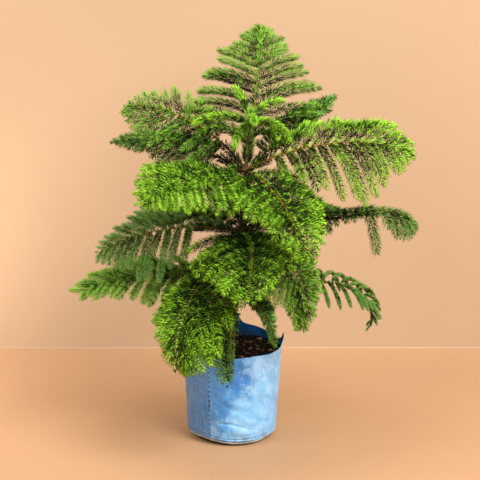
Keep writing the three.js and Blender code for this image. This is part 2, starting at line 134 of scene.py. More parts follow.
LIMBS = (
    limb("upper_right", 409, -14, 27, 47, 12, 254, roll=42, span=98, sides=(1.14, 0.9),
         profile=(0.42, 0.5, 0.08), dihedral=14, sag=1.1, pairs=15, bare=0.12, tint="young", wood="orange",
         light=0.06),
    limb("upper_left", 413, 176, 50, 56, -2, 205, roll=-48, span=64, sides=(0.8, 1.28),
         profile=(0.4, 0.85, 0.16), sag=0.4, pairs=11, wood="orange", light=0.16),
    limb("upper_back_left", 405, 140, 20, 31, 30, 234, roll=-20, span=64, sag=1.2, tint="shaded"),
    limb("upper_back", 412, 77, 57, 33, 12, 284, span=114, sides=(1.06, 1.16), profile=(0.05, 1.0, 0.08),
         forward=60, dihedral=0, sag=0.4, bare=0.14, light=0.1),
    limb("upper_back_right", 403, 38, 38, 22, 4, 208, span=56, sag=0.5, tint="shaded"),
    limb("upper_front_right", 406, -66, -3, 50, 1, 234, span=88, sides=(1.08, 1.0),
         profile=(0.2, 0.9, 0.16), bare=0.06, tint="young", wood="orange"),
    limb("upper_front_left", 407, 225, 9, 39, -2, 206, roll=-10, span=84, sides=(1.08, 1.3),
         profile=(0.3, 0.95, 0.08), bare=0.14, sag=0.5, tint="young", wood="orange", finer=0.5),
    limb("middle_left", 315, 200, 13, 43, -10, 217, roll=-32, span=82, sides=(0.82, 1.2), sag=0.8, pairs=11,
         bare=0.32, tint="shaded", light=0.34, needle=0.85),
    limb("middle_front", 309, -77, 9, 50, -22, 222, span=86, sides=(1.25, 1.0), profile=(0.3, 0.9, 0.16),
         bare=0.06, tint="young", wood="orange", finer=0.6, light=-0.1),
    limb("middle_front_right", 313, -45, -2, 100, -2, 202, span=74, sides=(1.2, 0.9), sag=1.0, light=0.1),
    limb("middle_right", 318, -10, 9, 45, 44, 276, bend=4, roll=40, span=70, sides=(1.0, 0.2),
         forward=94, uneven=0.2, profile=(0.65, 0.3, 0.5), sag=2.6, bare=0.24, pairs=16,
         trim={9: 0.5, 11: 0.55, 13: 0.4, 15: 0.35, 17: 1.12, 19: 0.3, 21: 0.62, 23: 0.85, 25: 0.9, 29: 0.75,
               31: 0.6}, sleeve=0.72, tint="shaded", needle=1.2, light=0.12),
    limb("middle_back_right", 312, 34, 20, 44, 6, 206, span=66, sag=1.2, bare=0.12, tint="shaded"),
    limb("middle_back", 316, 78, 24, 46, 8, 215, span=76, bare=0.12, tint="shaded"),
    limb("middle_back_left", 311, 138, 16, 44, -8, 215, span=84, profile=(0.5, 0.45, 0.16), sag=0.9,
         bare=0.05, tint="shaded"),
    limb("lower_left", 226, 196, 23, 46, -4, 229, roll=-15, span=80, sides=(1.1, 1.05),
         profile=(0.22, 0.72, 0.34), sag=0.7, pairs=12, light=0.2, needle=0.92),
    limb("lower_front_left", 230, 242, 35, 130, 10, 260, span=86, sides=(0.86, 1.34),
         profile=(0.42, 0.6, 0.14), sag=1.3, tint="young", finer=0.8, needle=1.08),
    limb("lower_front", 216, 266, 2, 58, 5, 206, span=62, sides=(1.25, 0.3), tint="shaded", finer=0.7),
    limb("lower_right", 225, -3, 8, 132, 16, 253, bend=3.4, roll=18, span=64, sides=(1.0, 1.2), forward=74,
         sag=2.6, dihedral=32, bare=0.35, pairs=12, tint="shaded", needle=0.64, spread=0.62,
         light=0.35),
    limb("lower_front_right", 223, -68, 8, 45, -8, 184, span=34, sides=(0.6, 0.9), tint="shaded", finer=0.9,
         needle=1.15),
    limb("lower_back_right", 228, 52, 20, 52, 6, 208, span=70, tint="shaded"),
    limb("lower_back_left", 223, 128, 14, 50, -6, 212, span=72, tint="shaded"),
)


def shoot(name, height, azimuth, rise, droop, length):
    """One young shoot round the leader."""
    return limb(name, height, azimuth, rise, droop, 0, length)


SHOOTS = (
    shoot("shoot_back_left", 486, 128, 64, 50, 62),
    shoot("shoot_right", 483, 4, 52, 66, 62),
    shoot("shoot_left", 478, 188, 22, 62, 92),
    shoot("shoot_front_left", 474, 243, -2, 78, 66),
    shoot("shoot_front_right", 476, -34, 18, 92, 84),
    shoot("shoot_front", 480, 278, 26, 70, 54),
    shoot("shoot_low_left", 446, 184, 48, 96, 88),
    shoot("shoot_low_right", 455, -8, 46, 140, 52),
)


def unit(vectors):
    """Vectors of length one."""
    return vectors / np.maximum(np.linalg.norm(vectors, axis=-1, keepdims=True), 1e-12)


def direction(azimuth, elevation):
    """The unit vector at an azimuth and an elevation in degrees."""
    a, e = math.radians(azimuth), math.radians(elevation)
    return np.array([math.cos(e) * math.cos(a), math.cos(e) * math.sin(a), math.sin(e)])


def chance(limb_index, twig_index, feature):
    """A repeatable number from 0 to 1 for one feature of one twig of one limb, from their mixed bits."""
    h = (limb_index * 7349 + twig_index * 9151 + feature * 13007 + 101) & 0xFFFFFFFF
    h = ((h ^ (h >> 15)) * 0x2C1B3C6D) & 0xFFFFFFFF
    h = ((h ^ (h >> 12)) * 0x297A2D39) & 0xFFFFFFFF
    return (h ^ (h >> 15)) / 4294967296


def trunk_centre(z):
    """The middle of the trunk at a height."""
    return np.array([TRUNK.foot_x + (z - SOIL.level) * TRUNK.lean, 0.0, z])


def trunk_radius(z):
    """The trunk's radius at a height."""
    return float(np.interp(z, TRUNK.heights, TRUNK.radii))


def line_of(member, base_radius):
    """The line of a limb in equal steps, from just outside the trunk to its tip."""
    start = trunk_radius(member.height) + CLEARANCE + base_radius * abs(math.sin(math.radians(member.rise)))
    points = [trunk_centre(member.height) + direction(member.azimuth, 0) * start]
    for k in range(LINE_STEPS):
        t = (k + 0.5) / LINE_STEPS
        heading = direction(member.azimuth + member.swing * t, member.rise - member.droop * t**member.bend)
        points.append(points[-1] + heading * member.length / LINE_STEPS)
    return np.array(points)


def point_on(line, t):
    """The point at a share t of a line of evenly spaced points."""
    k = np.clip(t, 0, 1) * (len(line) - 1)
    i = np.minimum(np.floor(k).astype(int), len(line) - 2)
    share = (k - i)[..., None] if np.ndim(k) else k - i
    return line[i] * (1 - share) + line[i + 1] * share


def heading_on(line, t):
    """Where a line points at a share t of it."""
    return unit(point_on(line, t + 0.02) - point_on(line, t - 0.02))


def span_at(profile, u):
    """How long a twig is at u, from 0 at the innermost twig to 1 at the limb's tip. profile is where the
    longest twigs are, and how long the innermost and outermost are beside them."""
    shoulder, inner, outer = profile
    rise = inner + (1 - inner) * min(u / shoulder, 1)
    fall = (1 - outer) * (max(u - shoulder, 0) / (1 - shoulder)) ** 1.15
    return rise * (1 - fall)


def spray_frame(member, heading):
    """The normal and the right-hand side of a limb's flat spray, where the limb points along heading."""
    over = unit(UP - heading * heading[2])
    right = np.cross(heading, over)
    roll = math.radians(member.roll)
    return over * math.cos(roll) + right * math.sin(roll), right * math.cos(roll) - over * math.sin(roll)


def twig_of(member, limb_index, line, pair, side):
    """Where one twig starts, where it points, how long it is and how it sags."""
    u = (pair + 0.5 + 0.25 * side) / member.pairs
    t = min(member.bare + (1 - member.bare) * u**TWIG.crowding, TWIG.outermost)
    twig_index = int(2 * pair) + (1 if side > 0 else 0)
    turn_luck, tilt_luck, length_luck = (chance(limb_index, twig_index, f) - 0.5 for f in (1, 2, 3))
    heading = heading_on(line, t)
    normal, out = spray_frame(member, heading)
    forward = math.radians(member.forward - TWIG.closing * u + TWIG.turn_chance * turn_luck)
    dihedral = math.radians(member.dihedral + TWIG.tilt_chance * tilt_luck)
    points = (
        heading * math.cos(forward)
        + out * side * math.sin(forward) * math.cos(dihedral)
        + normal * math.sin(forward) * math.sin(dihedral)
    )
    length = member.span * span_at(member.profile, u) * member.sides[0 if side > 0 else 1]
    length *= (1 + member.uneven * length_luck) * member.trim.get(twig_index, 1)
    return SimpleNamespace(
        start=point_on(line, t), heading=heading, points=points, length=length, sag=member.sag, u=u
    )


def twig_line(twig, length):
    """A twig's line in equal steps, which sags more towards its end."""
    steps = 10
    line = [twig.start]
    for k in range(steps):
        pull = twig.sag * ((k + 0.5) / steps) * length / SAG_LENGTH
        line.append(line[-1] + unit(twig.points - UP * pull) * length / steps)
    return np.array(line)


# ---------------------------------------------------------------- arrays and meshes


def all_round(count):
    """Evenly spaced angles all the way round, in radians."""
    return 2 * np.pi * np.arange(count) / count


def cylindrical(radius, turn, z):
    """Points from a radius, an angle in radians and a height."""
    return np.stack(np.broadcast_arrays(radius * np.cos(turn), radius * np.sin(turn), z), axis=-1)


class Axis:
    """A line with a frame at any distance along it. sideways is the way that its flat side faces."""

    def __init__(self, points, sideways):
        self.points = np.asarray(points, float)
        steps = np.linalg.norm(np.diff(self.points, axis=0), axis=1)
        self.distances = np.concatenate([[0.0], np.cumsum(steps)])
        self.length = self.distances[-1]
        self.along = unit(np.gradient(self.points, axis=0))
        self.sideways = np.asarray(sideways, float)

    def at(self, distances):
        """Points and their along, side and over vectors."""

        def read(values):
            return np.stack([np.interp(distances, self.distances, values[:, i]) for i in range(3)], axis=-1)

        point, along = read(self.points), unit(read(self.along))
        side = unit(self.sideways - along * (along @ self.sideways)[:, None])
        return point, along, side, np.cross(side, along)


def smooth(low, high, values):
    """0 below low, 1 above high, and a smooth step between."""
    t = np.clip((values - low) / (high - low), 0, 1)
    return t * t * (3 - 2 * t)


def lattice(x, y, z, seed):
    """A repeatable number from 0 to 1 at each whole-number place, from its mixed bits."""
    h = (x * 374761393 + y * 668265263 + z * 2147483647 + seed * 144665) & 0xFFFFFFFF
    h = ((h ^ (h >> 13)) * 1274126177) & 0xFFFFFFFF
    return ((h ^ (h >> 16)) & 0xFFFF) / 65535.0


def cloudy(points, size, seed):
    """Soft noise from -1 to 1 with features of about the given size."""
    places = np.asarray(points, float) / size
    whole = np.floor(places).astype(np.int64)
    part = places - whole
    part = part * part * (3 - 2 * part)
    total = 0.0
    for corner in itertools.product((0, 1), repeat=3):
        weight = np.prod(np.where(corner, part, 1 - part), axis=-1)
        total = total + weight * lattice(*np.moveaxis(whole + corner, -1, 0), seed)
    return 2 * total - 1


def mesh_piece(name, points, faces, materials, tints=None, uv=None):
    """A smooth mesh object from arrays. faces is a list of arrays of equal corner counts, and tints the
    material index of each face."""
    faces = [np.asarray(block) for block in faces if len(block)]
    corners = np.concatenate([block.ravel() for block in faces]).astype(np.int32)
    counts = np.concatenate([np.full(len(block), block.shape[1]) for block in faces]).astype(np.int32)
    starts = np.concatenate([[0], np.cumsum(counts)[:-1]]).astype(np.int32)
    mesh = bpy.data.meshes.new(name)
    mesh.vertices.add(len(points))
    mesh.vertices.foreach_set("co", (np.asarray(points) * MM).astype(np.float32).ravel())
    mesh.loops.add(len(corners))
    mesh.loops.foreach_set("vertex_index", corners)
    mesh.polygons.add(len(counts))
    mesh.polygons.foreach_set("loop_start", starts)
    mesh.polygons.foreach_set("loop_total", counts)
    for material in materials:
        mesh.materials.append(material)
    if tints is not None:
        mesh.polygons.foreach_set("material_index", np.asarray(tints, np.int32))
    if uv is not None:
        layer = mesh.uv_layers.new(name="Cloth")
        layer.data.foreach_set("uv", np.asarray(uv, np.float32).ravel())
    mesh.update(calc_edges=True)
    mesh.validate()
    mesh.shade_smooth()
    piece = bpy.data.objects.new(name, mesh)
    bpy.context.scene.collection.objects.link(piece)
    return piece


def dress(piece, slot, *nodes):
    """The piece rides on the part's one body and stands for its nodes."""
    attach(piece, "root")
    if nodes:
        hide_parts(*nodes)
    return piece


def ring_faces(rings, sides):
    """Quads between rings of points, and the fans that close the first and the last ring. The middles of the
    fans are the two points that follow the rings."""
    i = np.arange(rings - 1)[:, None] * sides
    k = np.arange(sides)
    after = (k + 1) % sides
    quads = np.stack([i + k, i + after, i + sides + after, i + sides + k], axis=-1).reshape(-1, 4)
    last, middle = (rings - 1) * sides, rings * sides
    low = np.stack([np.full(sides, middle), after, k], axis=-1)
    high = np.stack([np.full(sides, middle + 1), last + k, last + after], axis=-1)
    return quads, np.concatenate([low, high])


class Tubes:
    """Gathers closed tubes and makes them one mesh."""

    def __init__(self):
        self.points = []
        self.quads = []
        self.fans = []
        self.tints = []
        self.end_tints = []
        self.count = 0

    def add(self, axis, distances, radii, sides, tip_from=None):
        """One tube along an axis. radii is (rings, sides) or (rings,). It takes the second material from the
        ring tip_from on."""
        rings = len(distances)
        point, _, side, over = axis.at(distances)
        turn = all_round(sides)[:, None]
        radii = np.broadcast_to(np.asarray(radii, float).reshape(rings, -1), (rings, sides))
        spokes = side[:, None] * np.cos(turn) + over[:, None] * np.sin(turn)
        skin = (point[:, None] + spokes * radii[..., None]).reshape(-1, 3)
        quads, fans = ring_faces(rings, sides)
        self.points.append(np.concatenate([skin, point[:1], point[-1:]]))
        self.quads.append(quads[:, ::-1] + self.count)
        self.fans.append(fans[:, ::-1] + self.count)
        self.count += len(skin) + 2
        self.tints.append(np.repeat(np.arange(rings - 1) >= (rings if tip_from is None else tip_from), sides))
        self.end_tints.append(np.repeat([False, tip_from is not None], sides))

    def piece(self, name, materials):
        """The gathered tubes as one object."""
        faces = [np.concatenate(self.quads), np.concatenate(self.fans)]
        tints = np.concatenate(self.tints + self.end_tints)
        return mesh_piece(name, np.concatenate(self.points), faces, materials, tints)


# ---------------------------------------------------------------- finishes


def linear(red, green, blue):
    """A colour in display values from 0 to 255, as scene-linear numbers."""
    shares = (value / 255 for value in (red, green, blue))
    return tuple(s / 12.92 if s <= 0.04045 else ((s + 0.055) / 1.055) ** 2.4 for s in shares)


def scaled(colour, share):
    """A colour made darker or lighter."""
    return tuple(share * part for part in colour)


def maths(operation, reflected=False):
    """A method of Value that adds one Math node."""

    def method(self, *others):
        operands = (*others, self) if reflected else (self, *others)
        return self.finish.node("ShaderNodeMath", {"operation": operation}, dict(enumerate(operands)))

    return method


class Value:
    """One output socket, which takes part in expressions. Each operation adds a node."""

    def __init__(self, finish, socket):
        self.finish = finish
        self.socket = socket

    __add__ = maths("ADD")
    __radd__ = maths("ADD", reflected=True)
    __sub__ = maths("SUBTRACT")
    __rsub__ = maths("SUBTRACT", reflected=True)
    __mul__ = maths("MULTIPLY")
    __rmul__ = maths("MULTIPLY", reflected=True)
    __truediv__ = maths("DIVIDE")
    __pow__ = maths("POWER")
    __mod__ = maths("FLOORED_MODULO")
    __abs__ = maths("ABSOLUTE")

    def step(self, low, high):
        """0 below low, 1 above high, and a smooth step between."""
        return self.finish.node(
            "ShaderNodeMapRange", {"interpolation_type": "SMOOTHSTEP"}, {0: self, 1: low, 2: high}
        )


class Finish:
    """A material, its node tree and the one method that adds nodes to it."""

    def __init__(self, name):
        self.material = bpy.data.materials.new(name)
        self.material.use_nodes = True
        self.tree = self.material.node_tree
        self.tree.nodes.clear()

    def node(self, kind, settings=None, inputs=None, output=0):
        """Adds a node, makes its settings, then fills its sockets by name or place with values or links."""
        made = self.tree.nodes.new(kind)
        for name, value in (settings or {}).items():
            setattr(made, name, value)
        for name, value in (inputs or {}).items():
            socket = made.inputs[name]
            if isinstance(value, Value):
                self.tree.links.new(value.socket, socket)
            else:
                socket.default_value = (*value, 1) if socket.type == "RGBA" else value
        return None if output is None else Value(self, made.outputs[output])

    @cached_property
    def place(self):
        """Object coordinates in metres."""
        return self.node("ShaderNodeTexCoord", output="Object")

    def split(self, vector):
        """The X, Y and Z of a vector."""
        first = self.node("ShaderNodeSeparateXYZ", None, {0: vector})
        return [Value(self, socket) for socket in first.socket.node.outputs]

    def noise(self, scale, detail, roughness=0.5, stretch=None):
        """Soft noise with scale features to the metre, drawn out along an axis where stretch is under 1."""
        place = self.place
        if stretch is not None:
            place = self.node("ShaderNodeVectorMath", {"operation": "MULTIPLY"}, {0: place, 1: stretch})
        sockets = {"Vector": place, "Scale": scale, "Detail": detail, "Roughness": roughness}
        return self.node("ShaderNodeTexNoise", None, sockets)

    def blend(self, factor, first, second):
        """One colour or the other by a factor."""
        return self.node("ShaderNodeMix", {"data_type": "RGBA"}, {0: factor, 6: first, 7: second}, output=2)

    def layers(self, colour, *layers):
        """A colour with others laid over it in turn, each with its factor before it."""
        for factor, layer in layers:
            colour = self.blend(factor, colour, layer)
        return colour

    def bump(self, height, distance, strength, normal=None):
        """A normal bent by a height, on top of another normal if there is one."""
        sockets = {"Height": height, "Distance": distance, "Strength": strength}
        if normal is not None:
            sockets["Normal"] = normal
        return self.node("ShaderNodeBump", None, sockets)

    def surface(self, clear_behind=False, **inputs):
        """The shader and the material's output. Names are the shader's sockets with _ for a space."""
        named = {name.replace("_", " "): value for name, value in inputs.items()}
        shader = self.node("ShaderNodeBsdfPrincipled", None, named)
        if clear_behind:
            behind = self.node("ShaderNodeNewGeometry", output="Backfacing")
            clear = self.node("ShaderNodeBsdfTransparent")
            shader = self.node("ShaderNodeMixShader", None, {0: behind, 1: shader, 2: clear})
        self.node("ShaderNodeOutputMaterial", None, {"Surface": shader}, output=None)
        return self.material


# ---------------------------------------------------------------- settings


def colour_of(name, description, default):
    """A colour's setting."""
    return FloatVectorProperty(
        name=name, description=description, default=default, subtype="COLOR", size=3, min=0, max=1
    )


def length_of(name, description, default, **limits):
    """A length's setting, in metres."""
    kind = {"unit": "LENGTH", "subtype": "DISTANCE"}
    return FloatProperty(name=name, description=description, default=default, **kind, **limits)


def angle_of(name, description, degrees):
    """An angle's setting, from its default in degrees."""
    kind = {"unit": "ROTATION", "subtype": "ANGLE"}
    return FloatProperty(name=name, description=description, default=math.radians(degrees), **kind)


def count_of(name, description, default):
    """A count's setting."""
    return IntProperty(name=name, description=description, default=default, min=0)


class FoliageSettings(bpy.types.PropertyGroup):
    """Sizes and colours of the needles and twigs."""

    needle_length: length_of("Needle length", "Length of a full-grown needle", 0.0110, min=0.002, max=0.03)
    needle_width: length_of("Needle width", "Width of a needle at its middle", 0.0020, min=0.0002, max=0.004)
    needle_pitch: length_of("Needle pitch", "Distance between two rings of needles", 0.0039, min=0.001)
    needle_count: count_of("Needles in a ring", "Needles round a twig at one place", 10)
    needle_angle: angle_of("Needle angle", "Angle at which a needle leaves its twig", 60)
    twig_width: length_of("Twig width", "Width of a twig at its foot", 0.0016, min=0.0004, max=0.006)
    young: colour_of("Young needles", "Colour of new growth", linear(98, 148, 10))
    mature: colour_of("Mature needles", "Colour of grown needles", linear(84, 130, 14))
    shaded: colour_of("Shaded needles", "Colour of needles deep in the crown", linear(70, 112, 18))


class BarkSettings(bpy.types.PropertyGroup):
    """Colours of the trunk and limbs."""

    trunk: colour_of("Trunk", "Colour of the old bark", linear(92, 66, 42))
    scars: colour_of("Scars", "Colour of the cracks and leaf scars", linear(42, 32, 20))
    orange: colour_of("Ripe limb", "Colour of a limb whose bark has ripened", linear(168, 108, 40))
    green: colour_of("Green limb", "Colour of a limb that is still green", linear(124, 120, 44))


class BagSettings(bpy.types.PropertyGroup):
    """Sizes and colours of the grow bag."""

    cloth: colour_of("Cloth", "Colour of the woven tapes", linear(74, 150, 215))
    # Also painted light: the lit front and right of the cloth take this colour.
    faded_and_lit: colour_of("Faded cloth", "Colour where the sun has bleached the cloth", linear(152, 212, 250))
    fresh: colour_of("Fresh cloth", "Colour where the cloth has kept its blue", linear(30, 112, 196))
    # Also painted shade: the left side of the cloth takes this colour.
    dull: colour_of("Dull cloth", "Colour where dust has dulled the cloth", linear(56, 119, 166))
    # Partly painted shade: the inner face is a darker copy of the cloth's blue.
    inside: colour_of("Inside", "Colour of the cloth's inner face", linear(5, 76, 122))
    hem: colour_of("Hem", "Colour of the bead round the foot", linear(200, 196, 186))
    dirt: colour_of("Dirt", "Colour of the soil stains", linear(92, 84, 78))
    tape: length_of("Tape width", "Width of one woven tape", 0.0029, min=0.0005, max=0.01)
    thickness: length_of("Cloth thickness", "Thickness of the cloth", 0.0005, min=0.0002, max=0.0014)


class SoilSettings(bpy.types.PropertyGroup):
    """Sizes and colours of the potting soil."""

    colour: colour_of("Soil", "Colour of the potting mix", linear(22, 15, 8))
    chip: colour_of("Husk", "Colour of the husk chips", linear(176, 126, 88))
    crumbs: count_of("Crumbs", "How many crumbs lie on the soil", 1500)
    chips: count_of("Chips", "How many husk chips lie on the soil", 190)


class StageSettings(bpy.types.PropertyGroup):
    """The floor, the lights and the camera."""

    floor: colour_of("Floor", "Colour of the floor", linear(187, 145, 107))
    wall: colour_of("Wall", "Colour of the wall", linear(188, 154, 120))
    camera_height: length_of("Camera height", "Height of the camera", 0.778)
    camera_distance: length_of("Camera distance", "Distance of the camera in front of the trunk", 2.0)
    camera_pitch: angle_of("Camera pitch", "How far the camera looks down", 13.42)


class PottedPineSettings(bpy.types.PropertyGroup):
    """All the settings of the potted conifer."""

    foliage: PointerProperty(type=FoliageSettings, name="Foliage", description="Needles and twigs")
    bark: PointerProperty(type=BarkSettings, name="Bark", description="Trunk and limbs")
    bag: PointerProperty(type=BagSettings, name="Bag", description="The grow bag")
    soil: PointerProperty(type=SoilSettings, name="Soil", description="The potting soil")
    stage: PointerProperty(type=StageSettings, name="Stage", description="Floor, lights and camera")


def settings():
    """The scene's settings of the potted conifer."""
    return bpy.context.scene.potted_pine


# ---------------------------------------------------------------- the grow bag


def apart(turn, azimuth):
    """How far round the bag a direction is from an azimuth, in degrees."""
    return (np.degrees(turn) - azimuth + 180) % 360 - 180


def bulge(away, half_width):
    """1 at a line or a place, and less away from it."""
    return np.exp(-((away / half_width) ** 2))


def bag_radius(turn, z):
    """The cloth's plain radius, as the solid has it."""
    foot = np.interp(z, (0, BAG.hip_height), (BAG.foot_radius, BAG.hip_radius))
    slope = (BAG.rim_radius - BAG.hip_radius) / (BAG.front_height - BAG.hip_height)
    wave = sum(depth * np.sin(count * turn + phase) for count, depth, phase in BAG_WAVES)
    return foot + slope * np.maximum(z - BAG.hip_height, 0) + wave * z / BAG.front_height


def rim_height(turn):
    """The height of the open rim, with the cloth's corner up at the back and its flap up at the right."""
    back = BAG.back_rise * np.maximum(np.sin(turn), 0) ** 1.4
    ear = BAG.ear_rise * bulge(apart(turn, BAG.ear_azimuth), BAG.ear_width)
    flap = BAG.flap_rise * bulge(apart(turn, BAG.flap_azimuth), BAG.flap_width)
    count, depth, phase = RIM_WAVE
    return BAG.front_height + back + ear + flap + depth * np.sin(count * turn + phase)


# Creases in the cloth: azimuth and height of both ends, then half width and depth in millimetres.
CREASES = (
    ((254, 37), (270, 36.6), 1.4, -2.0),
    ((270, 36.6), (291, 27), 1.2, -1.7),
    ((258, 29), (288, 21), 5.5, 1.8),
    ((317, 132), (318.5, 106), 0.9, -1.4),
    ((311, 126), (311.5, 110), 0.9, -0.9),
    ((302, 138), (299, 122), 1.4, -0.9),
    ((328, 138), (330, 96), 1.6, -0.9),
    ((290, 140), (289, 109), 6.0, 1.7),
    ((289, 109), (283, 87), 6.0, 1.7),
    ((283, 87), (267, 73), 6.0, 1.5),
    ((279, 138), (278, 104), 6.5, -1.2),
    ((272, 96), (262, 84), 5.0, -0.9),
    ((262, 64), (276, 56), 2.6, -1.0),
    ((296, 72), (318, 60), 3.4, -0.8),
    ((300, 40), (324, 30), 2.2, -0.8),
    ((232, 120), (228, 60), 2.6, -0.9),
    ((222, 110), (218, 30), 2.2, -0.8),
    ((212, 96), (208, 40), 3.0, 0.9),
    ((334, 90), (338, 40), 3.0, -0.9),
)
SEAM_AZIMUTH = 242.0
STITCH_LINE = 18.0  # height of the stitched line round the foot
STITCH_PITCH = 5.2  # distance from one of its stitches to the next
SEAM_STITCH_PITCH = 7.5
MEAN_RADIUS = 70.0  # of the bag, which turns an angle into a length round it
INNER_FLOOR = 100.0  # height where the inner face ends, under the soil
# Rings round the foot: height, half width and how far they stand out.
FOOT_RINGS = ((1.9, 1.2, 1.0), (4.0, 0.6, -0.9), (6.3, 1.4, 0.4), (9.4, 0.8, -0.5))
# Where the foot's edge stands clear of the ground: azimuth, half width and height.
FOOT_LIFTS = ((225, 34, 5.6), (326, 16, 2.4), (90, 30, 1.4))


def foot_lift(turn, z):
    """How far the cloth near the foot is raised from the ground."""
    lift = 2.3 + sum(rise * bulge(apart(turn, azimuth), width) for azimuth, width, rise in FOOT_LIFTS)
    return lift * (1 - smooth(3, 26, z))


def crumple(turn, z):
    """How far the cloth stands out or in from its plain radius, in millimetres."""
    turn = turn % (2 * np.pi)
    arc = turn * MEAN_RADIUS
    push = np.zeros_like(turn)
    rng = np.random.default_rng(41)
    for _ in range(9):
        angle = rng.uniform(0, np.pi)
        size = rng.uniform(17, 46)
        phase = rng.uniform(0, 2 * np.pi)
        depth = rng.uniform(0.08, 0.2)
        turns = max(1, round(2 * np.pi * MEAN_RADIUS * math.cos(angle) / size))
        wave = np.sin(turns * turn + z * math.sin(angle) * 2 * np.pi / size + phase)
        push += depth * (0.6 - np.abs(wave)) * 1.6
    places = cylindrical(MEAN_RADIUS, turn, z)
    push += 0.6 * cloudy(places, 26, 3) + 0.36 * cloudy(places, 11, 4) + 0.16 * cloudy(places, 5, 5)
    push *= 0.1 + 0.9 * smooth(2, 30, z)
    push -= 1.5 * np.cos(turn) * (1 - z / 150)
    for (a0, z0), (a1, z1), width, depth in crease_list():
        x0, x1 = math.radians(a0) * MEAN_RADIUS, math.radians(a1) * MEAN_RADIUS
        dx, dz = x1 - x0, z1 - z0
        inside = np.clip(((arc - x0) * dx + (z - z0) * dz) / (dx * dx + dz * dz), 0, 1)
        away = np.hypot(arc - x0 - inside * dx, z - z0 - inside * dz)
        push += depth * np.sin(np.pi * np.clip(inside, 0.12, 0.88)) ** 0.7 * bulge(away, width)
    return push


def crease_list():
    """The creases of the front, and seeded ones round the back."""
    rng = np.random.default_rng(17)
    made = list(CREASES)
    for _ in range(30):
        azimuth = rng.uniform(-15, 230)
        height = rng.uniform(16, 120)
        run, drop = rng.uniform(6, 22), rng.uniform(-34, 34)
        width, depth = rng.uniform(1.2, 3), rng.uniform(-1.1, 0.9)
        made.append(((azimuth, height), (azimuth + run, height + drop), width, depth))
    return made


def seam_ridge(turn):
    """How far the folded cloth stands out along the side seam."""
    return 0.75 * bulge(apart(turn, SEAM_AZIMUTH), 1.6)


def cloth_radius(turn, z):
    """The outer face's radius, with its creases, its seam, the rings round its foot and its bent flap."""
    away = apart(turn, SEAM_AZIMUTH)
    seam = seam_ridge(turn) + 0.5 * smooth(-5.2, -3.8, away) * smooth(0.6, -0.6, away)
    rings = sum(out * bulge(z - at, half) for at, half, out in FOOT_RINGS)
    flap = smooth(18, 4, rim_height(turn) - z) * bulge(apart(turn, BAG.flap_azimuth - 4), 11)
    return bag_radius(turn, z) + crumple(turn, z) + seam + rings + 1.5 * flap


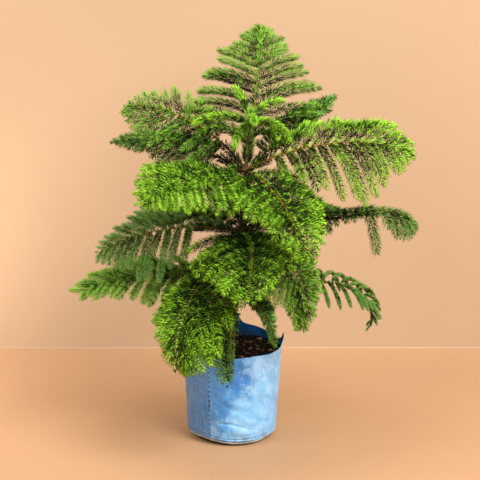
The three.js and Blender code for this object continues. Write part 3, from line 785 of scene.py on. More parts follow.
def cloth_finish():
    """The woven cloth, faded and stained, with painted light on its front and right, dust and painted shade
    on its left, a painted highlight and its needle holes painted near-black.
    """
    bag = settings().bag
    finish = Finish("woven_cloth")
    arc, rise, _ = finish.split(finish.node("ShaderNodeUVMap", {"uv_map": "Cloth"}))
    round_bag = 2 * math.pi * MEAN_RADIUS * MM
    azimuth = SEAM_AZIMUTH + arc * (360 / round_bag)
    blotch = finish.noise(42, 4, 0.6)
    ragged = finish.noise(150, 4, 0.65)

    def mark(at, height, half_width, half_height):
        """A ragged spot on the cloth, from its middle in degrees and millimetres and its half sizes."""
        middle = (at - SEAM_AZIMUTH) % 360 * round_bag / 360
        across = (arc - middle) / (half_width * MM)
        up = (rise - height * MM) / (half_height * MM)
        return 1 - (across * across + up * up + 6 * (blotch - 0.5) + 5 * (ragged - 0.5)).step(0, 1.6)

    # tapes woven on the bias, whose gaps show as fine slanting lines
    bias = math.radians(38)
    weft = (arc * math.sin(bias) + rise * math.cos(bias)) / bag.tape
    warp = (arc * math.cos(bias) - rise * math.sin(bias)) / bag.tape
    ridge_a = abs(2 * (weft % 1.0) - 1)
    ridge_b = abs(2 * (warp % 1.0) - 1)
    gaps = ridge_a.step(0.35, 0.9)
    cross_gaps = ridge_b.step(0.6, 0.98)
    worn = finish.noise(55, 3).step(0.36, 0.62)
    lines = gaps * (0.25 + 0.75 * worn) + 0.35 * cross_gaps * (1 - worn)
    # the sun has faded the front and right, which also carry painted light where they face the key lamp, and
    # dust and painted shade dull the left
    edge = 256 + 33 * rise.step(0.03, 0.105)
    faded_and_lit = (azimuth - edge + 90 * (blotch - 0.5) + 60 * (ragged - 0.5)).step(-14, 16)
    blots = finish.noise(90, 4, 0.6)
    faded_and_lit = faded_and_lit * (1 - azimuth.step(352, 384)) * (0.8 + 0.2 * blots.step(0.4, 0.6))
    # the left side: dust and painted shade, where the cloth faces away from the key lamp
    dusty_and_shaded = azimuth.step(500, 556) + (1 - azimuth.step(243, 268)) * 0.7
    milky = finish.noise(24, 5, 0.62).step(0.42, 0.66)
    cloud = finish.noise(80, 5, 0.62).step(0.48, 0.62)
    streaks = finish.noise(190, 4, 0.6, (1, 1, 0.14)).step(0.44, 0.68)
    # the bead round the foot, soil dust and splashes
    foot = 1 - rise.step(0.001, 0.03)
    specks = finish.noise(240, 4, 0.6).step(0.6, 0.72)
    grime = foot * blots.step(0.42, 0.66) * 0.6 + specks * 0.14
    bead = (1 - rise.step(0.0030, 0.0038)) * (0.6 + 0.4 * finish.noise(120, 4, 0.6).step(0.36, 0.56))
    # darker lines along the two grooves of the rings round the foot
    folds = 1 - abs(rise - 0.0041).step(0.0003, 0.0009) * abs(rise - 0.0094).step(0.0003, 0.0009)
    # needle holes down the side seam and round the foot, painted near-black as the shade inside them, and
    # darker on the shaded left
    from_seam = abs((arc + round_bag / 2) % round_bag - round_bag / 2)
    hole = 1 - abs((rise / (SEAM_STITCH_PITCH * MM)) % 1.0 - 0.5).step(0.1, 0.2)
    slit = (1 - abs(rise - 0.066).step(0.007, 0.010)) * 0.75
    down_seam = (1 - from_seam.step(0.0005, 0.0012)) * (rise.step(0.03, 0.036) * (hole + slit))
    foot_hole = 1 - abs((arc / (STITCH_PITCH * MM)) % 1.0 - 0.5).step(0.1, 0.22)
    at_foot = (1 - abs(rise - STITCH_LINE * MM).step(0.0004, 0.001)) * (0.25 + 0.5 * dusty_and_shaded)
    holes = down_seam + at_foot * foot_hole
    cloth = finish.layers(
        bag.cloth,
        (milky * 0.4, bag.faded_and_lit),
        # the faded front and right, partly painted light
        (faded_and_lit * 0.86, bag.faded_and_lit),
        # dust and painted shade over the left side
        (dusty_and_shaded * 0.8, bag.dull),
        (mark(277, 112, 16, 34) * 0.34, bag.fresh),
        # streaks that are darker on the left, then a painted grey shade over the left side
        (streaks * (0.08 + 0.5 * dusty_and_shaded), scaled(bag.cloth, 0.5)),
        ((1 - cloud) * (1 - streaks) * dusty_and_shaded * 0.3, (0.26, 0.33, 0.45)),
        (mark(257, 60, 10, 14) * 0.5, bag.dull),
        (cloud * (0.08 + 0.4 * faded_and_lit), (0.6, 0.8, 1.0)),
        # a painted highlight: a whitish patch on the lit front
        (mark(302, 121, 12, 14) * 0.4, (0.7, 0.84, 1.0)),
        (mark(247, 22, 7, 18) * 0.35, (0.5, 0.68, 0.84)),
        (lines * (0.95 - 0.4 * faded_and_lit - 0.35 * dusty_and_shaded), scaled(bag.fresh, 0.75)),
        (bead, bag.hem),
        # dirt near the foot, and the darker ring grooves in the same colour
        (grime + 0.55 * folds, bag.dirt),
        (holes, (0.006, 0.012, 0.025)),
    )
    relief = 1 - 0.7 * gaps - 0.4 * cross_gaps - 3 * holes
    return finish.surface(
        Base_Color=cloth,
        Roughness=0.3 + 0.16 * milky + 0.2 * grime,
        Normal=finish.bump(relief, 0.00022, 0.9, finish.bump(blotch + 0.6 * ragged, 0.0026, 0.8)),
        Specular_IOR_Level=0.5,
    )


def shadow_sole_finish():
    """The underside of the bag, painted near-black as the shadow in the gap under its lifted foot."""
    finish = Finish("cloth_sole")
    shadow_tone = finish.blend(finish.noise(60, 4), (0.012, 0.012, 0.014), (0.04, 0.04, 0.045))
    return finish.surface(Base_Color=shadow_tone, Roughness=0.9)


def shaded_inside_finish():
    """The cloth's inner face in a deeper blue that is partly painted shade, dusty where it meets the soil."""
    bag = settings().bag
    finish = Finish("cloth_inside")
    _, rise, _ = finish.split(finish.node("ShaderNodeUVMap", {"uv_map": "Cloth"}))
    patches = finish.noise(60, 4).step(0.4, 0.66)
    dust = rise.step(0.144, 0.156) * finish.noise(160, 4).step(0.3, 0.6)
    cloth = finish.layers(bag.inside, (patches * 0.5, bag.fresh), (dust * 0.8, scaled(bag.dirt, 0.3)))
    return finish.surface(Base_Color=cloth, Roughness=0.6, Specular_IOR_Level=0.3)


class PINE_OT_grow_bag(bpy.types.Operator):
    """Makes the crumpled woven bag with its seam, the rings round its foot and its stitches."""

    bl_idname = "pine.grow_bag"
    bl_label = "Grow Bag"

    def execute(self, context):
        self.cloth(context.scene.potted_pine.bag)
        self.stitches()
        return {"FINISHED"}

    def cloth(self, bag):
        """One closed shell: underside, outer face, rim, inner face and a floor in the soil."""
        columns = 330
        turn = math.radians(SEAM_AZIMUTH) + 2 * np.pi * (np.arange(columns) + 0.5) / columns
        rim = rim_height(turn)
        near_foot = np.concatenate([np.arange(0, 11, 0.5), np.linspace(11.2, 24, 14)])
        low, hem, thickness = near_foot[-1], BAG.front_height, bag.thickness / MM
        # each row's height, how far inside the outer face it is, and its height in the cloth's pattern
        # the first row is the underside, 8 mm in from the edge, whose near-black colour is painted shadow
        # under the lifted foot
        rows = [(0.1, 8.0, 0.0)] + [(z, 0.0, z) for z in near_foot]
        for s in np.linspace(0, 1, 84)[1:] ** 0.96:
            rows.append((low + s * (rim - low), 0.0, low + s * (hem - low)))
        outside = len(rows)
        rows += [(rim + 0.35 * thickness, 0.5 * thickness, hem + 0.4), (rim, thickness, hem + 0.8)]
        for s in np.linspace(0.975, 0, 24):
            rows.append((INNER_FLOOR + s * (rim - INNER_FLOOR), thickness, hem + 1 + (1 - s) * 40))
        rings = []
        for z, inset, _ in rows:
            z = np.full(columns, z)
            radius = cloth_radius(turn, z) - inset
            rings.append(cylindrical(radius, turn, z + foot_lift(turn, z)))
        rings[0][:, 2] = rows[0][0]
        points = np.concatenate([*rings, [[0, 0, 0.35], [0, 0, INNER_FLOOR]]])
        quads, fans = ring_faces(len(rows), columns)
        kinds = [2] + [0] * (outside - 1) + [1] * (len(rows) - 1 - outside) + [2]
        tints = np.repeat(kinds, [columns] * (len(rows) - 1) + [len(fans)])
        u = MEAN_RADIUS * MM * 2 * np.pi * (np.arange(columns + 1) + 0.5) / columns
        v = np.array([row[2] for row in rows])[:, None] * MM
        corners = ((u[:-1], v[:-1]), (u[1:], v[:-1]), (u[1:], v[1:]), (u[:-1], v[1:]))
        uv = np.stack([np.stack(np.broadcast_arrays(*corner), -1) for corner in corners], axis=2)
        uv = np.concatenate([uv.reshape(-1, 2), points[fans.ravel()][:, :2] * MM])
        finishes = [cloth_finish(), shaded_inside_finish(), shadow_sole_finish()]
        piece = mesh_piece("grow_bag_cloth", points, [quads, fans], finishes, tints, uv)
        dress(piece, "bag_fabric", "grow_bag")

    def stitches(self):
        """Short lengths of pale thread down the seam and round the foot."""
        thread = Finish("stitch_thread")
        fibre = thread.noise(900, 2)
        colour = thread.blend(fibre, linear(150, 178, 204), linear(96, 124, 156))
        seam = math.radians(SEAM_AZIMUTH)
        places = [(seam, z + 1.3, seam, z + 6.2) for z in np.arange(26.25, 132, SEAM_STITCH_PITCH)]
        for turn in np.arange(0, 2 * np.pi, STITCH_PITCH / MEAN_RADIUS):
            places.append((turn + 0.012, STITCH_LINE, turn + 0.058, STITCH_LINE))
        tubes = Tubes()
        steps = np.linspace(0, 1, 5)
        for turn0, z0, turn1, z1 in places:
            turn, z = turn0 + (turn1 - turn0) * steps, z0 + (z1 - z0) * steps
            loop = 0.32 * np.sin(np.pi * steps) - 0.12
            radius = bag_radius(turn, z) + crumple(turn, z) + seam_ridge(turn) + loop
            line = cylindrical(radius, turn, z + foot_lift(turn, z))
            axis = Axis(line, direction(math.degrees(turn0), 0))
            tubes.add(axis, axis.distances, np.full(5, 0.26), 6)
        dress(tubes.piece("bag_stitches", [thread.surface(Base_Color=colour, Roughness=0.7)]), "bag_fabric")


# ---------------------------------------------------------------- the soil


def soil_height(x, y):
    """The soil's surface, flat round the trunk, heaped to its edge and lumpy all over."""
    share = np.clip(np.hypot(x, y) / SOIL.radius, 0, 1)
    places = np.stack([x, y, np.zeros_like(x)], axis=-1)
    lumps = 1.5 * cloudy(places, 17, 11) + 0.9 * cloudy(places, 7, 12) + 0.5 * cloudy(places, 3, 13)
    calm = smooth(5, 14, np.hypot(x - TRUNK.foot_x, y))
    edge = SOIL.edge_rise * share**3 + 2.2 * smooth(0.55, 1, share) * bulge(np.arctan2(y, x), 0.8)
    return SOIL.level + 0.8 + edge + lumps * (0.35 + 0.65 * calm)


def soil_finish(name, dark, pale, wet):
    """Grainy matter that is darker where it is damp. wet is how much darker."""
    finish = Finish(name)
    grain = finish.noise(420, 5, 0.65)
    damp = finish.noise(60, 3).step(0.35, 0.65)
    return finish.surface(
        Base_Color=finish.layers(dark, (grain.step(0.35, 0.75), pale), (damp * wet, scaled(dark, 0.5))),
        Roughness=0.95 - 0.25 * damp * wet,
        Normal=finish.bump(grain, 0.0006, 0.8),
        Specular_IOR_Level=0.12,
    )


GOLDEN = (1 + 5**0.5) / 2
# The corners and faces of an icosahedron, the form that each crumb and chip is bent from.
LUMP_CORNERS = (
    (-1, GOLDEN, 0), (1, GOLDEN, 0), (-1, -GOLDEN, 0), (1, -GOLDEN, 0), (0, -1, GOLDEN), (0, 1, GOLDEN),
    (0, -1, -GOLDEN), (0, 1, -GOLDEN), (GOLDEN, 0, -1), (GOLDEN, 0, 1), (-GOLDEN, 0, -1), (-GOLDEN, 0, 1),
)
LUMP_FACES = (
    (0, 11, 5), (0, 5, 1), (0, 1, 7), (0, 7, 10), (0, 10, 11), (1, 5, 9), (5, 11, 4), (11, 10, 2),
    (10, 7, 6), (7, 1, 8), (3, 9, 4), (3, 4, 2), (3, 2, 6), (3, 6, 8), (3, 8, 9), (4, 9, 5),
    (2, 4, 11), (6, 2, 10), (8, 6, 7), (9, 8, 1),
)


def scattered(rng, count, low, high, flatness):
    """Points and faces of little angular lumps strewn on the soil."""
    turn = rng.uniform(0, 2 * np.pi, count)
    reach = (SOIL.radius - 0.5) * np.sqrt(rng.uniform(0.004, 1, count))
    x, y = reach * np.cos(turn), reach * np.sin(turn)
    size = rng.uniform(low, high, count) * rng.uniform(0.6, 1, count)
    long, wide = rng.uniform(0.8, 1.7, count), rng.uniform(0.6, 1, count)
    stretch = np.stack([long, wide, np.full(count, flatness)], -1)
    dents = 1 + 0.28 * rng.normal(size=(count, len(LUMP_CORNERS), 1)).clip(-1.5, 1.5)
    lump = unit(np.array(LUMP_CORNERS))[None] * stretch[:, None] * dents
    spin, tip = rng.uniform(0, 2 * np.pi, (count, 1)), rng.normal(0, 0.5, (count, 1))
    tipped = lump[..., 1] * np.cos(tip) - lump[..., 2] * np.sin(tip)
    up = lump[..., 1] * np.sin(tip) + lump[..., 2] * np.cos(tip)
    across = lump[..., 0] * np.cos(spin) - tipped * np.sin(spin)
    along = lump[..., 0] * np.sin(spin) + tipped * np.cos(spin)
    points = np.stack([across, along, up], -1) * size[:, None, None]
    points += np.stack([x, y, soil_height(x, y) + 0.15 * size], -1)[:, None]
    faces = np.array(LUMP_FACES)[None] + len(LUMP_CORNERS) * np.arange(count)[:, None, None]
    return points.reshape(-1, 3), faces.reshape(-1, 3)


class PINE_OT_soil(bpy.types.Operator):
    """Makes the soil's lumpy top, its crumbs and its husk chips."""

    bl_idname = "pine.soil"
    bl_label = "Soil"

    def execute(self, context):
        soil = context.scene.potted_pine.soil
        columns, rings = 240, 96
        under, top = 112.0, 130.0  # heights of its underside and of its edge
        turn = all_round(columns)
        edge = bag_radius(turn, top) + crumple(turn, np.full(columns, top)) - 0.9
        radius = np.linspace(1, 0, rings, endpoint=False)[:, None] * edge
        x, y = radius * np.cos(turn), radius * np.sin(turn)
        z = soil_height(x, y)
        z[0] -= 1.0
        low = np.stack([x[0] * 0.93, y[0] * 0.93, np.full(columns, under)], -1)
        centre = soil_height(np.zeros(1), np.zeros(1))[0]
        skin = np.stack([x, y, z], -1).reshape(-1, 3)
        points = np.concatenate([low, skin, [[0, 0, under], [0, 0, centre]]])
        dark, pale, husk = soil.colour, scaled(soil.colour, 2.1), soil.chip
        faces, mix = ring_faces(rings + 1, columns), soil_finish("potting_mix", dark, pale, 0.8)
        dress(mesh_piece("soil_top", points, faces, [mix]), "potting_soil", "soil")
        rng = np.random.default_rng(5)
        points, faces = scattered(rng, soil.crumbs, 0.6, 2.3, 0.7)
        finish = soil_finish("crumbs", dark, pale, 0.5)
        dress(mesh_piece("soil_crumbs", points, [faces], [finish]), "potting_soil")
        points, faces = scattered(rng, soil.chips, 1.2, 3.4, 0.3)
        finish = soil_finish("husk", scaled(husk, 0.45), husk, 0.3)
        dress(mesh_piece("soil_chips", points, [faces], [finish]), "potting_soil")
        return {"FINISHED"}


# ---------------------------------------------------------------- trunk and limbs


def bark_finish():
    """Flaky, cracked bark that is greener towards the leader."""
    bark = settings().bark
    finish = Finish("old_bark")
    _, _, height = finish.split(finish.place)
    flakes = finish.noise(520, 4, 0.6, (1, 1, 0.45))
    cracks = finish.noise(900, 3, 0.6, (1, 1, 0.2)).step(0.5, 0.72)
    colour = finish.layers(
        scaled(bark.trunk, 0.7),
        (flakes.step(0.3, 0.7), bark.trunk),
        (cracks * 0.7, bark.scars),
        (height.step(0.25, 0.44) * 0.35, scaled(bark.green, 0.5)),
    )
    return finish.surface(
        Base_Color=colour,
        Roughness=0.72 + 0.2 * cracks,
        Normal=finish.bump(flakes - cracks, 0.0004, 0.8),
        Specular_IOR_Level=0.2,
    )


def limb_finish(name, main, patch):
    """Grainy bark of two colours in patches, which is dark near the trunk."""
    finish = Finish(name)
    grain = finish.noise(380, 4, 0.6)
    patches = finish.noise(70, 3).step(0.4, 0.66)
    x, y, _ = finish.split(finish.place)
    inner = 1 - ((x * x + y * y) ** 0.5).step(0.012, 0.055)
    colour = finish.layers(
        main,
        (patches * 0.6, patch),
        (grain.step(0.5, 0.8) * 0.5, scaled(main, 0.45)),
        (inner * 0.85, settings().bark.scars),
    )
    return finish.surface(
        Base_Color=colour,
        Roughness=0.55 + 0.25 * grain,
        Normal=finish.bump(grain, 0.0003, 0.7),
        Specular_IOR_Level=0.2,
    )


WHORLS = (225, 314, 408, 478)  # heights where the trunk is thicker, because limbs or shoots leave it
TIP_REACH = 7.0  # how far the last needles reach past their stem's end


def cushions(distance, turn, pitch):
    """Raised leaf cushions in a spiral round a stem, from 0 to 1."""
    rise = 2 * np.pi * distance / pitch
    return (0.5 + 0.5 * np.cos(rise + 3 * turn)) * (0.5 + 0.5 * np.cos(rise - 5 * turn))


class PINE_OT_trunk(bpy.types.Operator):
    """Makes the trunk with its root flare, leaf cushions, cracks and whorl collars."""

    bl_idname = "pine.trunk"
    bl_label = "Trunk"

    def execute(self, context):
        sides = 44
        low, top = 124.0, 495.5
        heights = np.concatenate([np.linspace(low, 142, 30), np.arange(142.8, top, 0.8)])
        z, around = np.meshgrid(heights, all_round(sides), indexing="ij")
        plain = np.interp(z, TRUNK.heights, TRUNK.radii)
        radius = plain * (1 + TRUNK.root_lobe * np.cos(3 * around) * smooth(134, 127, z))
        for whorl in WHORLS:
            radius = radius * (1 + 0.16 * bulge(z - whorl, 4.5))
        places = cylindrical(5, around, z * 0.5)
        old = smooth(330, 200, z)
        relief = 0.34 * cushions(z, around, 6.5) * (1 - 0.6 * old)
        relief += old * (0.3 * cloudy(places, 1.6, 21) + 0.22 * cloudy(places * [1, 1, 0.4], 0.8, 22))
        radius = radius + relief * np.clip(plain / 4, 0.35, 1)
        points = cylindrical(radius, around, z)
        points[..., 0] += TRUNK.foot_x + (z - SOIL.level) * TRUNK.lean
        points = np.concatenate([points.reshape(-1, 3), [trunk_centre(low), trunk_centre(top + 1)]])
        piece = mesh_piece("trunk_bark", points, ring_faces(len(heights), sides), [bark_finish()])
        dress(piece, "bark", "trunk")
        return {"FINISHED"}


def stem_axis(member, base_radius):
    """The axis of a limb's stem, which ends where its last needles begin."""
    line = line_of(member, base_radius)
    keep = 1 - TIP_REACH / member.length
    points = point_on(line, np.linspace(0, keep, 64))
    inward = -direction(member.azimuth, 0) * (trunk_radius(member.height) * 0.7 + 0.5)
    points = np.concatenate([[points[0] + inward], points])
    _, side = spray_frame(member, heading_on(line, 0.5))
    return Axis(points, side), line


class PINE_OT_limbs(bpy.types.Operator):
    """Makes the boughs and the stems of the fronds with the bark's relief."""

    bl_idname = "pine.limbs"
    bl_label = "Limbs"

    def execute(self, context):
        bark = context.scene.potted_pine.bark
        finishes = {
            "orange": limb_finish("ripe_bark", bark.orange, bark.green),
            "green": limb_finish("green_bark", bark.green, bark.orange),
        }
        sides = 12
        for member in LIMBS:
            axis, _ = stem_axis(member, BOUGH_RADIUS)
            distances = np.arange(0, axis.length, 0.9)
            plain = np.interp(distances / axis.length, [0, member.bare, 1], [2.1, 1.45, 0.5])
            plain *= 1 + 0.5 * bulge(distances, 5)
            d, around = np.meshgrid(distances, all_round(sides), indexing="ij")
            bumps = 0.26 * cushions(d, around, 4.2)
            bumps += 0.16 * cloudy(np.stack([d, 2 * np.cos(around), 2 * np.sin(around)], -1), 1.4, 31)
            tubes = Tubes()
            tubes.add(axis, distances, plain[:, None] * (0.94 + bumps), sides)
            piece = tubes.piece(f"{member.name}_limb", [finishes[member.wood]])
            dress(piece, "green_bark", f"{member.name}_bough")
        return {"FINISHED"}


# ---------------------------------------------------------------- twigs and needles

TINT_STEPS = 5


def tint_colours(colour):
    """Five plain colours from the deepest to the freshest of one kind of needle; the deepest are painted
    shade, and the extra blue and red of the freshest a painted highlight.
    """
    deep = (0.05, 0.26, 0.82, 1.5, 2.2)
    warm = (0.8, 0.96, 1.1, 1.2, 1.3)
    cool = (0.2, 0.5, 1.0, 2.4, 4.5)
    red, green, blue = colour
    shades = zip(deep, warm, cool)
    return [(min(red * d * w, 1), min(green * d, 1), min(blue * d * c, 1)) for d, w, c in shades]


def needle_finishes(tint):
    """The five finishes of one kind of needle, made once."""
    made = []
    for step, shade in enumerate(tint_colours(getattr(settings().foliage, tint))):
        name = f"{tint}_needle_{step + 1}"
        material = bpy.data.materials.get(name)
        if material is None:
            shine = 0.08 + 0.06 * step
            material = Finish(name).surface(Base_Color=shade, Roughness=0.42, Specular_IOR_Level=shine)
        made.append(material)
    return made


class Needles:
    """Gathers needles and makes them one mesh. A needle is a thin spindle: its foot, a ring of three points
    and its tip."""

    WAIST = 0.45  # where along a needle those three lie
    CLOSING = 13.0  # length before a stem's end over which its needles fold towards its tip
    TIP_ANGLE = 0.36  # between a stem and the needles at its very end, in radians

    def __init__(self, seed):
        self.rng = np.random.default_rng(seed)
        self.blocks = []
        self.tints = []

    def cover(self, axis, look, freshness, start, stop=None):
        """Sets rings of needles round an axis. freshness, from 0 to 1, is a function of the share of the
        axis."""
        rng = self.rng
        stop = axis.length if stop is None else stop
        rings = int((stop - start) / look.pitch)
        if rings < 1:
            return
        count = rings * look.count
        s = start + (np.arange(rings) + rng.uniform(0.45, 0.55, rings)) * look.pitch
        s = np.repeat(s, look.count) + rng.uniform(-0.15, 0.15, count)
        turn = np.repeat(rng.uniform(0, 2 * np.pi, rings), look.count) + rng.normal(0, 0.12, count)
        turn += 2 * np.pi / look.count * np.arange(count)
        point, along, side, over = axis.at(s)
        radial = unit(side * np.cos(turn)[:, None] + over * (np.sin(turn) * look.flatness)[:, None])
        close = smooth(axis.length - self.CLOSING, axis.length, s)
        angle = (look.angle * (1 - close) + self.TIP_ANGLE * close + rng.normal(0, 0.03, count))[:, None]
        out = along * np.cos(angle) + radial * np.sin(angle)
        inward = along * np.sin(angle) - radial * np.cos(angle)
        length = look.length * (1 - 0.34 * close) * (0.62 + 0.38 * smooth(0, 9, s - start))
        length = (length * (1 + rng.normal(0, 0.09, count).clip(-0.25, 0.2)))[:, None]
        curl = (look.curl * (1 + rng.normal(0, 0.3, count)))[:, None]
        base = point + radial * look.sink
        across = unit(np.cross(out, inward))
        width = look.width * (1 - 0.15 * close)[:, None] * 0.5
        waist = base + out * length * self.WAIST + inward * length * curl * self.WAIST**2
        corners = [
            waist + across * width * math.cos(a) + inward * width * 0.75 * math.sin(a)
            for a in (math.radians(90), math.radians(210), math.radians(330))
        ]
        tip = base + out * length + inward * length * curl
        self.blocks.append(np.stack([base, *corners, tip], axis=1))
        luck = np.repeat(rng.normal(0, 0.16, rings), look.count) + rng.normal(0, 0.18, count)
        # needles that point up are painted lighter and those that point down darker, as painted light and
        # shade
        fresh = freshness(s / axis.length) + luck + 0.16 * radial[:, 2]
        self.tints.append(np.clip(np.floor(fresh * TINT_STEPS), 0, TINT_STEPS - 1).astype(int))

    def piece(self, name, tint):
        """The gathered needles as one object."""
        points = np.concatenate(self.blocks)
        faces = np.array([(0, 2, 1), (0, 3, 2), (0, 1, 3), (1, 2, 4), (2, 3, 4), (3, 1, 4)])
        triangles = (faces[None] + 5 * np.arange(len(points))[:, None, None]).reshape(-1, 3)
        tints = np.repeat(np.concatenate(self.tints), len(faces))
        return mesh_piece(name, points.reshape(-1, 3), [triangles], needle_finishes(tint), tints)


def needle_look(size, spread, **changes):
    """How needles stand on a stem, in millimetres and radians. size and spread are their length and their
    angle beside the plain ones."""
    foliage = settings().foliage
    look = SimpleNamespace(
        length=foliage.needle_length / MM * size,
        width=foliage.needle_width / MM,
        pitch=foliage.needle_pitch / MM * min(1, 0.3 + 0.7 * size),
        count=foliage.needle_count,
        angle=foliage.needle_angle * spread,
        flatness=0.6,
        curl=0.16,
        sink=0.35,
    )
    look.__dict__.update(changes)
    return look


def twig_finishes():
    """The finishes of a twig's foot and of its tip."""
    colours = {"twig_foot": linear(66, 62, 24), "twig_tip": linear(84, 116, 34)}
    return [Finish(name).surface(Base_Color=colour, Roughness=0.6) for name, colour in colours.items()]


class PINE_OT_fronds(bpy.types.Operator):
    """Makes each frond's twigs, and its needles in their tints."""

    bl_idname = "pine.fronds"
    bl_label = "Fronds"

    def execute(self, context):
        wood = twig_finishes()
        thick = context.scene.potted_pine.foliage.twig_width / MM / 2
        for limb_index, member in enumerate(LIMBS):
            axis, line = stem_axis(member, BOUGH_RADIUS)
            needles, twigs = Needles(100 + limb_index), Tubes()
            for pair in np.arange(0, member.pairs, 0.5 if member.finer else 1):
                for side in (1, -1):
                    twig = twig_of(member, limb_index, line, pair, side)
                    luck = chance(limb_index, int(4 * pair) + side, 7) - 0.5
                    self.twig(member, twig, thick, pair % 1 > 0, luck, twigs, needles)
            self.stem_needles(member, axis, needles)
            slot = f"{member.tint}_needles"
            dress(twigs.piece(f"{member.name}_twigs", wood), slot, member.name)
            dress(needles.piece(f"{member.name}_needles", member.tint), slot, member.name)
        return {"FINISHED"}

    def twig(self, member, twig, thick, between, luck, twigs, needles):
        """One twig and its needles. between says that it stands between two pairs."""
        reach = twig.length * (member.finer if between else 1)
        stem = max(reach - TIP_REACH * member.needle, 3.0)
        axis = Axis(twig_line(twig, stem), twig.heading)
        rings = 9
        radii = np.interp(np.linspace(0, 1, rings), [0, 0.08, 1], [1.25 * thick, thick, 0.45 * thick])
        twigs.add(axis, np.linspace(0, stem, rings), radii, 5, tip_from=4)
        # inner twigs are darker, partly as painted shade deep in the frond; tips are fresher with new growth
        base = 0.42 * twig.u - 0.02 + 0.36 * luck + member.light - (0.12 if between else 0)
        look = needle_look(member.needle, member.spread)
        needles.cover(axis, look, lambda share: base + 0.66 * share**1.15, start=1.5)

    def stem_needles(self, member, axis, needles):
        """The needles on the limb: sparse on its spray, so that the wood shows, and dark near the trunk."""
        bare = member.bare * member.length + 3
        near_tip = 0.62 * axis.length
        for start, stop, pitch in ((bare, near_tip, 6.0), (near_tip, None, 3.6)):
            look = needle_look(0.8 * member.needle, member.spread, pitch=pitch, sink=0.6, flatness=1.0)
            needles.cover(axis, look, lambda share: 0.24 + 0.4 * share, start=start, stop=stop)
        look = needle_look(0.95 * member.needle, 1.0, pitch=3.0, sink=1.2, flatness=1.0)
        sleeve = max(bare, member.sleeve * member.length)
        needles.cover(axis, look, lambda share: 0.3 * share - 0.05, start=6, stop=sleeve)


class PINE_OT_shoots(bpy.types.Operator):
    """Makes the young shoots round the leader, and the needles on the trunk."""

    bl_idname = "pine.shoots"
    bl_label = "Shoots"

    def execute(self, context):
        wood = twig_finishes()
        look = needle_look(1.0, 0.9, pitch=3.2, flatness=0.95, sink=0.5)
        for index, member in enumerate(SHOOTS):
            axis, _ = stem_axis(member, SHOOT_RADIUS)
            needles, stem = Needles(300 + index), Tubes()
            base = 0.0 if "low" in member.name else 0.3
            needles.cover(axis, look, lambda share: base + 0.6 * share, start=2.5)
            distances = np.linspace(0, axis.length, 26)
            radii = np.interp(distances / axis.length, [0, 0.1, 1], [1.3, 1.0, 0.45])
            stem.add(axis, distances, radii, 8, tip_from=9)
            dress(stem.piece(f"{member.name}_stem", wood), "young_needles", member.name)
            dress(needles.piece(f"{member.name}_needles", "young"), "young_needles", member.name)
        self.leader()
        return {"FINISHED"}

    def leader(self):
        """The needles on the trunk, short and dark below the upper whorl, and fresh above it."""
        lowest, upper_whorl = 232, 412
        line = [trunk_centre(z) for z in np.linspace(lowest, TRUNK.heights[-1], 90)]
        axis = Axis(line, direction(0, 0))
        upper = upper_whorl - lowest
        needles = Needles(400)
        thin = needle_look(1.1, 1.0, pitch=3.2, flatness=1, sink=2.8)
        needles.cover(axis, thin, lambda share: 0.05, start=4, stop=upper - 6)
        full = needle_look(1.2, 1.0, pitch=3.0, flatness=1, sink=1.6)
        needles.cover(axis, full, lambda share: 3 * share - 2.0, start=upper + 4)
        dress(needles.piece("leader_needles", "mature"), "mature_needles")


# ---------------------------------------------------------------- the stage


CAMERA_X = 0.0114  # metres
LENS, SENSOR = 104, 36  # focal length and the sensor's width in millimetres
MIDDLE = (0, 0, 0.3)
# Square area lamps: name, place, watts, size, what they point at and how wide they throw, in degrees.
LAMPS = (
    ("key", (1.75, -2.1, 2.5), 205, 2.0, MIDDLE, 180),
    ("fill", (-1.9, -1.3, 1.9), 44, 1.8, MIDDLE, 180),
    ("top", (-0.3, 0.0, 2.0), 16, 1.2, MIDDLE, 180),
    ("wall", (-1.15, -0.3, 0.8), 0.6, 0.6, (-0.5, 0.42, 0.2), 70),
    ("low_wall", (-0.9, -0.1, 0.3), 0.6, 0.3, (-0.36, 0.42, 0.1), 60),
)


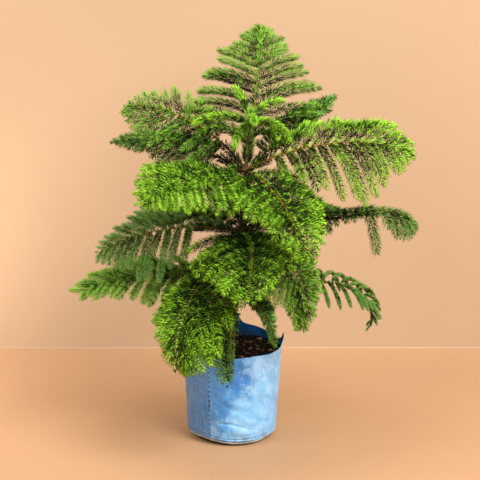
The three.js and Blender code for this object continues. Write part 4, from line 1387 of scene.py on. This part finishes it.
class PINE_OT_stage(bpy.types.Operator):
    """Makes the plain floor and wall, the soft lights and the camera."""

    bl_idname = "pine.stage"
    bl_label = "Stage"

    def execute(self, context):
        stage = context.scene.potted_pine.stage
        self.backdrop(stage)
        self.world()
        for lamp in LAMPS:
            self.lamp(*lamp)
        camera = bpy.data.objects.new("camera", bpy.data.cameras.new("camera"))
        camera.location = (CAMERA_X, -stage.camera_distance, stage.camera_height)
        camera.rotation_euler = (math.pi / 2 - stage.camera_pitch, 0, 0)
        camera.data.lens = LENS
        camera.data.sensor_width = SENSOR
        context.scene.collection.objects.link(camera)
        context.scene.camera = camera
        context.scene.view_settings.view_transform = "Standard"
        return {"FINISHED"}

    def backdrop(self, stage):
        """One sheet of a floor, a small cove and a wall."""
        cove, start, height, across = 2, 412, 3000, np.linspace(-3000, 3000, 13)
        floor_bands = 6  # the cove's first two among them
        profile = [(y, 0.0) for y in (-2600, -600, 0, start - 40, start)]
        for a in math.pi / 2 * np.arange(1, 13) / 12:
            profile.append((start + cove * math.sin(a), cove * (1 - math.cos(a))))
        profile.append((start + cove, height))
        points = np.array([(x, y, z - 0.3) for y, z in profile for x in across])
        i = np.arange(len(profile) - 1)[:, None] * len(across)
        k = i + np.arange(len(across) - 1)
        quads = np.stack([k, k + 1, k + len(across) + 1, k + len(across)], -1).reshape(-1, 4)
        tints = np.repeat(np.arange(len(profile) - 1) >= floor_bands, len(across) - 1)
        finishes = []
        for name, colour in (("plain_floor", stage.floor), ("plain_wall", stage.wall)):
            finish = Finish(name)
            tone = finish.noise(3, 2).step(0.3, 0.7)
            shade = finish.blend(tone, colour, scaled(colour, 0.97))
            finish.surface(clear_behind=True, Base_Color=shade, Roughness=0.62, Specular_IOR_Level=0.3)
            finishes.append(finish.material)
        mesh_piece("backdrop", points, [quads], finishes, tints)

    def world(self):
        """A dim, even light from all sides."""
        world = bpy.data.worlds.new("studio")
        world.use_nodes = True
        background = world.node_tree.nodes["Background"]
        background.inputs["Color"].default_value = (0.97, 0.985, 1.0, 1)
        background.inputs["Strength"].default_value = 0.17
        bpy.context.scene.world = world

    def lamp(self, name, place, power, size, target, spread):
        """One lamp of the table, turned to its target."""
        data = bpy.data.lights.new(name, "AREA")
        data.energy = power
        data.size = size
        data.spread = math.radians(spread)
        data.color = (0.965, 0.985, 1.0)
        lamp = bpy.data.objects.new(name, data)
        lamp.location = place
        x, y, z = np.array(target) - np.array(place)
        lamp.rotation_euler = (math.atan2(math.hypot(x, y), -z), 0, math.atan2(-x, y))
        bpy.context.scene.collection.objects.link(lamp)


class PINE_PT_sidebar(bpy.types.Panel):
    """Lists the settings and the operators that make the pieces."""

    bl_idname = "PINE_PT_sidebar"
    bl_label = "Potted Pine"
    bl_space_type = "VIEW_3D"
    bl_region_type = "UI"
    bl_category = "Potted Pine"

    def draw(self, context):
        pine = context.scene.potted_pine
        for group in (pine.bag, pine.soil, pine.bark, pine.foliage, pine.stage):
            box = self.layout.box()
            for name in group.bl_rna.properties.keys():
                if name not in ("rna_type", "name"):
                    box.prop(group, name)
        for operator in OPERATORS:
            self.layout.operator(operator.bl_idname)


GROUPS = (FoliageSettings, BarkSettings, BagSettings, SoilSettings, StageSettings, PottedPineSettings)
OPERATORS = (
    PINE_OT_stage,
    PINE_OT_grow_bag,
    PINE_OT_soil,
    PINE_OT_trunk,
    PINE_OT_limbs,
    PINE_OT_fronds,
    PINE_OT_shoots,
)


def register():
    """Registers the add-on's classes and settings."""
    for kind in (*GROUPS, *OPERATORS, PINE_PT_sidebar):
        bpy.utils.register_class(kind)
    bpy.types.Scene.potted_pine = PointerProperty(type=PottedPineSettings)


def unregister():
    """Takes them away again."""
    del bpy.types.Scene.potted_pine
    for kind in reversed((*GROUPS, *OPERATORS, PINE_PT_sidebar)):
        bpy.utils.unregister_class(kind)


def main():
    """Builds the stage and every piece."""
    register()
    bpy.ops.pine.stage()
    bpy.ops.pine.grow_bag()
    bpy.ops.pine.soil()
    bpy.ops.pine.trunk()
    bpy.ops.pine.limbs()
    bpy.ops.pine.fronds()
    bpy.ops.pine.shoots()
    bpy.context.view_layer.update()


if __name__ == "__main__":
    main()
